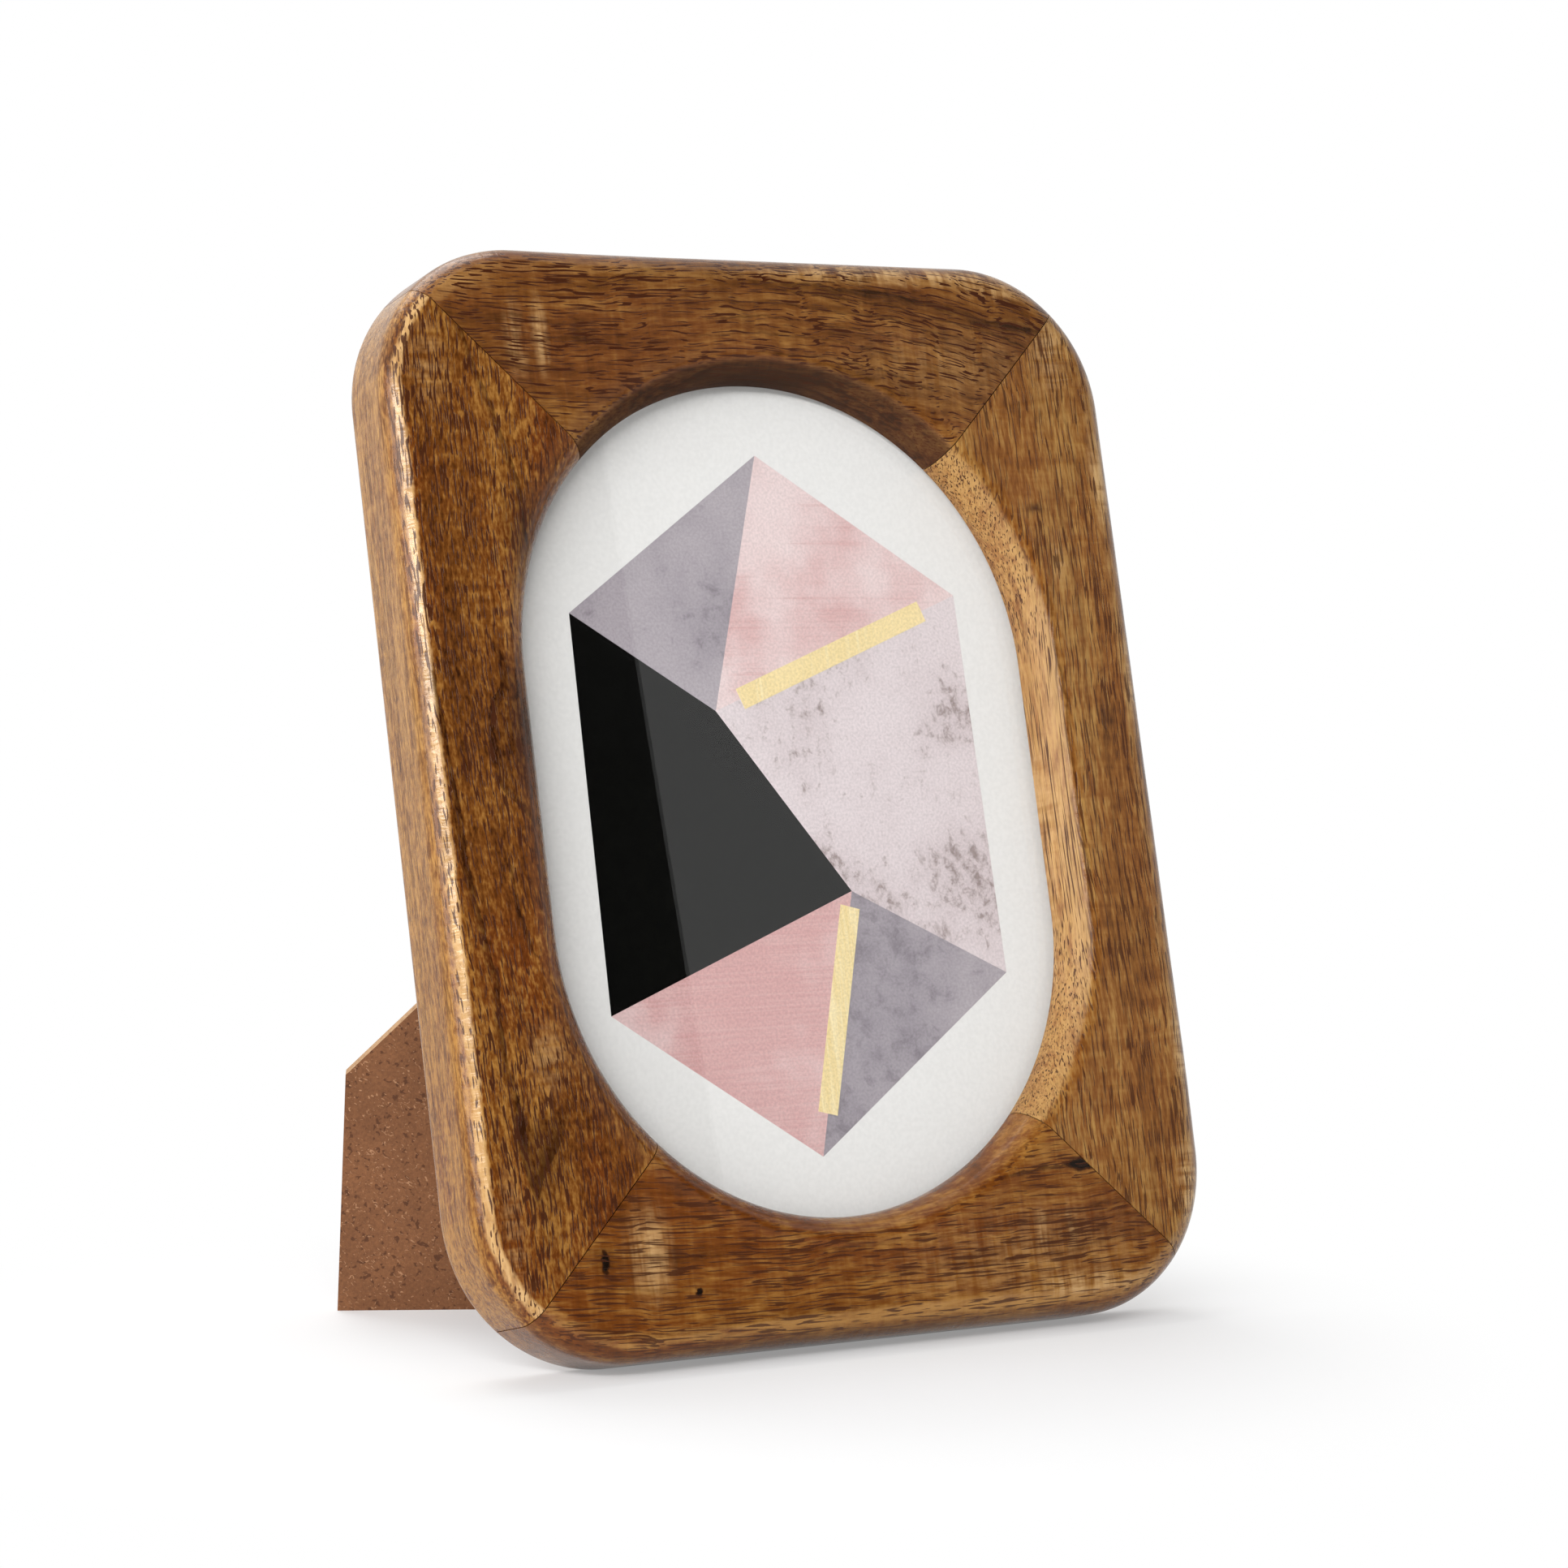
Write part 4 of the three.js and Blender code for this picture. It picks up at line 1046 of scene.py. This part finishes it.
# %% [markdown]
# The frame stands on a plain white table in a white room. The camera and the mirrors see the
# table and the room as white, and the lamps stay at a level at which a colour looks as it is
# written. The table keeps the soft shadow near the frame, and fades to plain white further out.

# %% Lay the floor
FLOOR_HALF = 4.0
FADE_MIDDLE, FADE_FROM, FADE_TO = (0.03, 0.02, 0), 0.085, 0.17
NEAR_GLOW = 0.28


def sheet(name, corners, faces, material):
    data = bpy.data.meshes.new(name)
    data.from_pydata(corners, [], faces)
    data.materials.append(material)
    return put(name, data, Matrix())


def diffuse(tree, *color):
    return add(tree, "BsdfDiffuse", {"Color": (*color, 1)}).outputs[0]


def glow(tree, strength, *color):
    return add(tree, "Emission", {"Color": (*color, 1), "Strength": strength}).outputs[0]


floor_paint, tree, _, place = new_material("floor_white")
lit = {0: diffuse(tree, 0.612, 0.615, 0.62), 1: glow(tree, NEAR_GLOW, 1, 1, 1)}
near = add(tree, "AddShader", lit).outputs[0]
away = vectors(tree, "LENGTH", vectors(tree, "ADD", place, FADE_MIDDLE))
shown = mixed(tree, ramp(tree, away, FADE_FROM, FADE_TO), near, glow(tree, 1.0, 1, 1, 1))
seen = rays_of(tree, "Camera", "Glossy", "Transmission")
show(tree, mixed(tree, seen, diffuse(tree, 0.80, 0.80, 0.80), shown))
far = FLOOR_HALF
floor = sheet("floor", [(-far, -far, 0), (far, -far, 0), (far, far, 0), (-far, far, 0)],
              [(0, 1, 2, 3)], floor_paint)
print("floor", 2 * FLOOR_HALF, "m wide")

# %% [markdown]
# A wide soft lamp stands in front to the left: its reflection is the bright line along the
# rounded edge. A second one at the left lights the side, and a third hangs overhead. The white
# room does the rest.

# %% Light the frame
MIDDLE = Vector((0, 0, 0.11))
FILL = 0.37


def soft_lamp(name, place, wide, high, power):
    data = bpy.data.lights.new(name, "AREA")
    data.shape = "RECTANGLE"
    data.size, data.size_y = wide, high
    data.energy = power
    made = bpy.data.objects.new(name, data)
    made.location = place
    made.rotation_euler = (MIDDLE - Vector(place)).to_track_quat("-Z", "Y").to_euler()
    made.visible_camera = False
    bpy.context.collection.objects.link(made)


soft_lamp("lamp_left", (-1.35, -0.35, 0.50), 0.7, 0.9, 10.5)
soft_lamp("lamp_front", (-0.82, -0.90, 0.62), 0.9, 0.15, 13.0)
soft_lamp("lamp_above", (-0.1, 0.55, 1.25), 0.9, 0.9, 9.0)

world = bpy.data.worlds.new("white_room")
bpy.context.scene.world = world
world.use_nodes = True
tree = world.node_tree
tree.nodes.clear()
room = add(tree, "Background", {"Color": (1, 1, 1, 1), "Strength": 1.0}).outputs[0]
fill = add(tree, "Background", {"Color": (1, 0.99, 0.98, 1), "Strength": FILL}).outputs[0]
seen = rays_of(tree, "Camera", "Glossy", "Transmission")
add(tree, "OutputWorld", {"Surface": mixed(tree, seen, fill, room)})
print("lamps", len(bpy.data.lights))

# %% [markdown]
# Part of the room in front of the frame is dark: the glass shows it over the print's left
# quarter, where the colours are deep, while the rest has a pale grey veil. Two cards stand there,
# a dark one and a grey one. The camera doesn't see them, and they cast no light or shadow: they
# show only in the glass and in what shines. To find their place the camera is mirrored in the
# glass, and the corners are points on the lines from that mirrored camera through the pane.

# %% Stand the two cards
IMAGE_PX = 1932
GLASS_FRONT = 8.3
CARD_REACH = 2.0
GREY_GLOW = 0.56
WINDOW_TOP, WINDOW_LOW = (722, 420), (905, 1540)
DARK_PARTS = [
    (WINDOW_TOP, WINDOW_LOW, (-2500, 1540), (-2500, 420)),
    ((-2500, -1800), (3600, -1800), (3600, 420), (-2500, 420)),
    ((-2500, 1540), (3600, 1540), (3600, 2600), (-2500, 2600)),
]
GREY_PARTS = [(WINDOW_TOP, WINDOW_LOW, (3600, 1540), (3600, 420))]
glass_point = LEANING @ Vector((0, GLASS_FRONT * MM, 0))
glass_way = (LEANING.to_3x3() @ Vector((0, -1, 0))).normalized()
eye = camera.location
mirrored_eye = eye - 2 * (eye - glass_point).dot(glass_way) * glass_way


def seen_in_glass(across, down):
    half = IMAGE_PX / 2
    scale = SENSOR_MM / IMAGE_PX / LENS_MM
    ray = Vector(((across - half) * scale, (half - down) * scale, -1))
    ray = camera.matrix_world.to_3x3() @ ray
    share = (glass_point - eye).dot(glass_way) / ray.dot(glass_way)
    return mirrored_eye + (eye + ray * share - mirrored_eye) * CARD_REACH


def stand_card(name, parts, material):
    corners = [seen_in_glass(*corner) for part in parts for corner in part]
    faces = [tuple(range(i, i + 4)) for i in range(0, len(corners), 4)]
    card = sheet(name, corners, faces, material)
    card.visible_camera = False
    card.visible_diffuse = False
    card.visible_shadow = False


dark, tree, shader, place = new_material("dark_card")
nap = speckle(tree, place, (300, 300, 300), 2.0)
nap = blend(tree, nap, paint(12, 12, 12), paint(20, 20, 20))
tree.links.new(nap, shader.inputs["Base Color"])
fixed(shader, {"Roughness": 1.0, "Specular IOR Level": 0.0})
grey, tree, _, _ = new_material("grey_card_stand")
show(tree, glow(tree, GREY_GLOW, 1, 1, 0.99))
stand_card("dark_card", DARK_PARTS, dark)
stand_card("grey_card_stand", GREY_PARTS, grey)
print("card corner", [round(v, 2) for v in seen_in_glass(*WINDOW_TOP)])
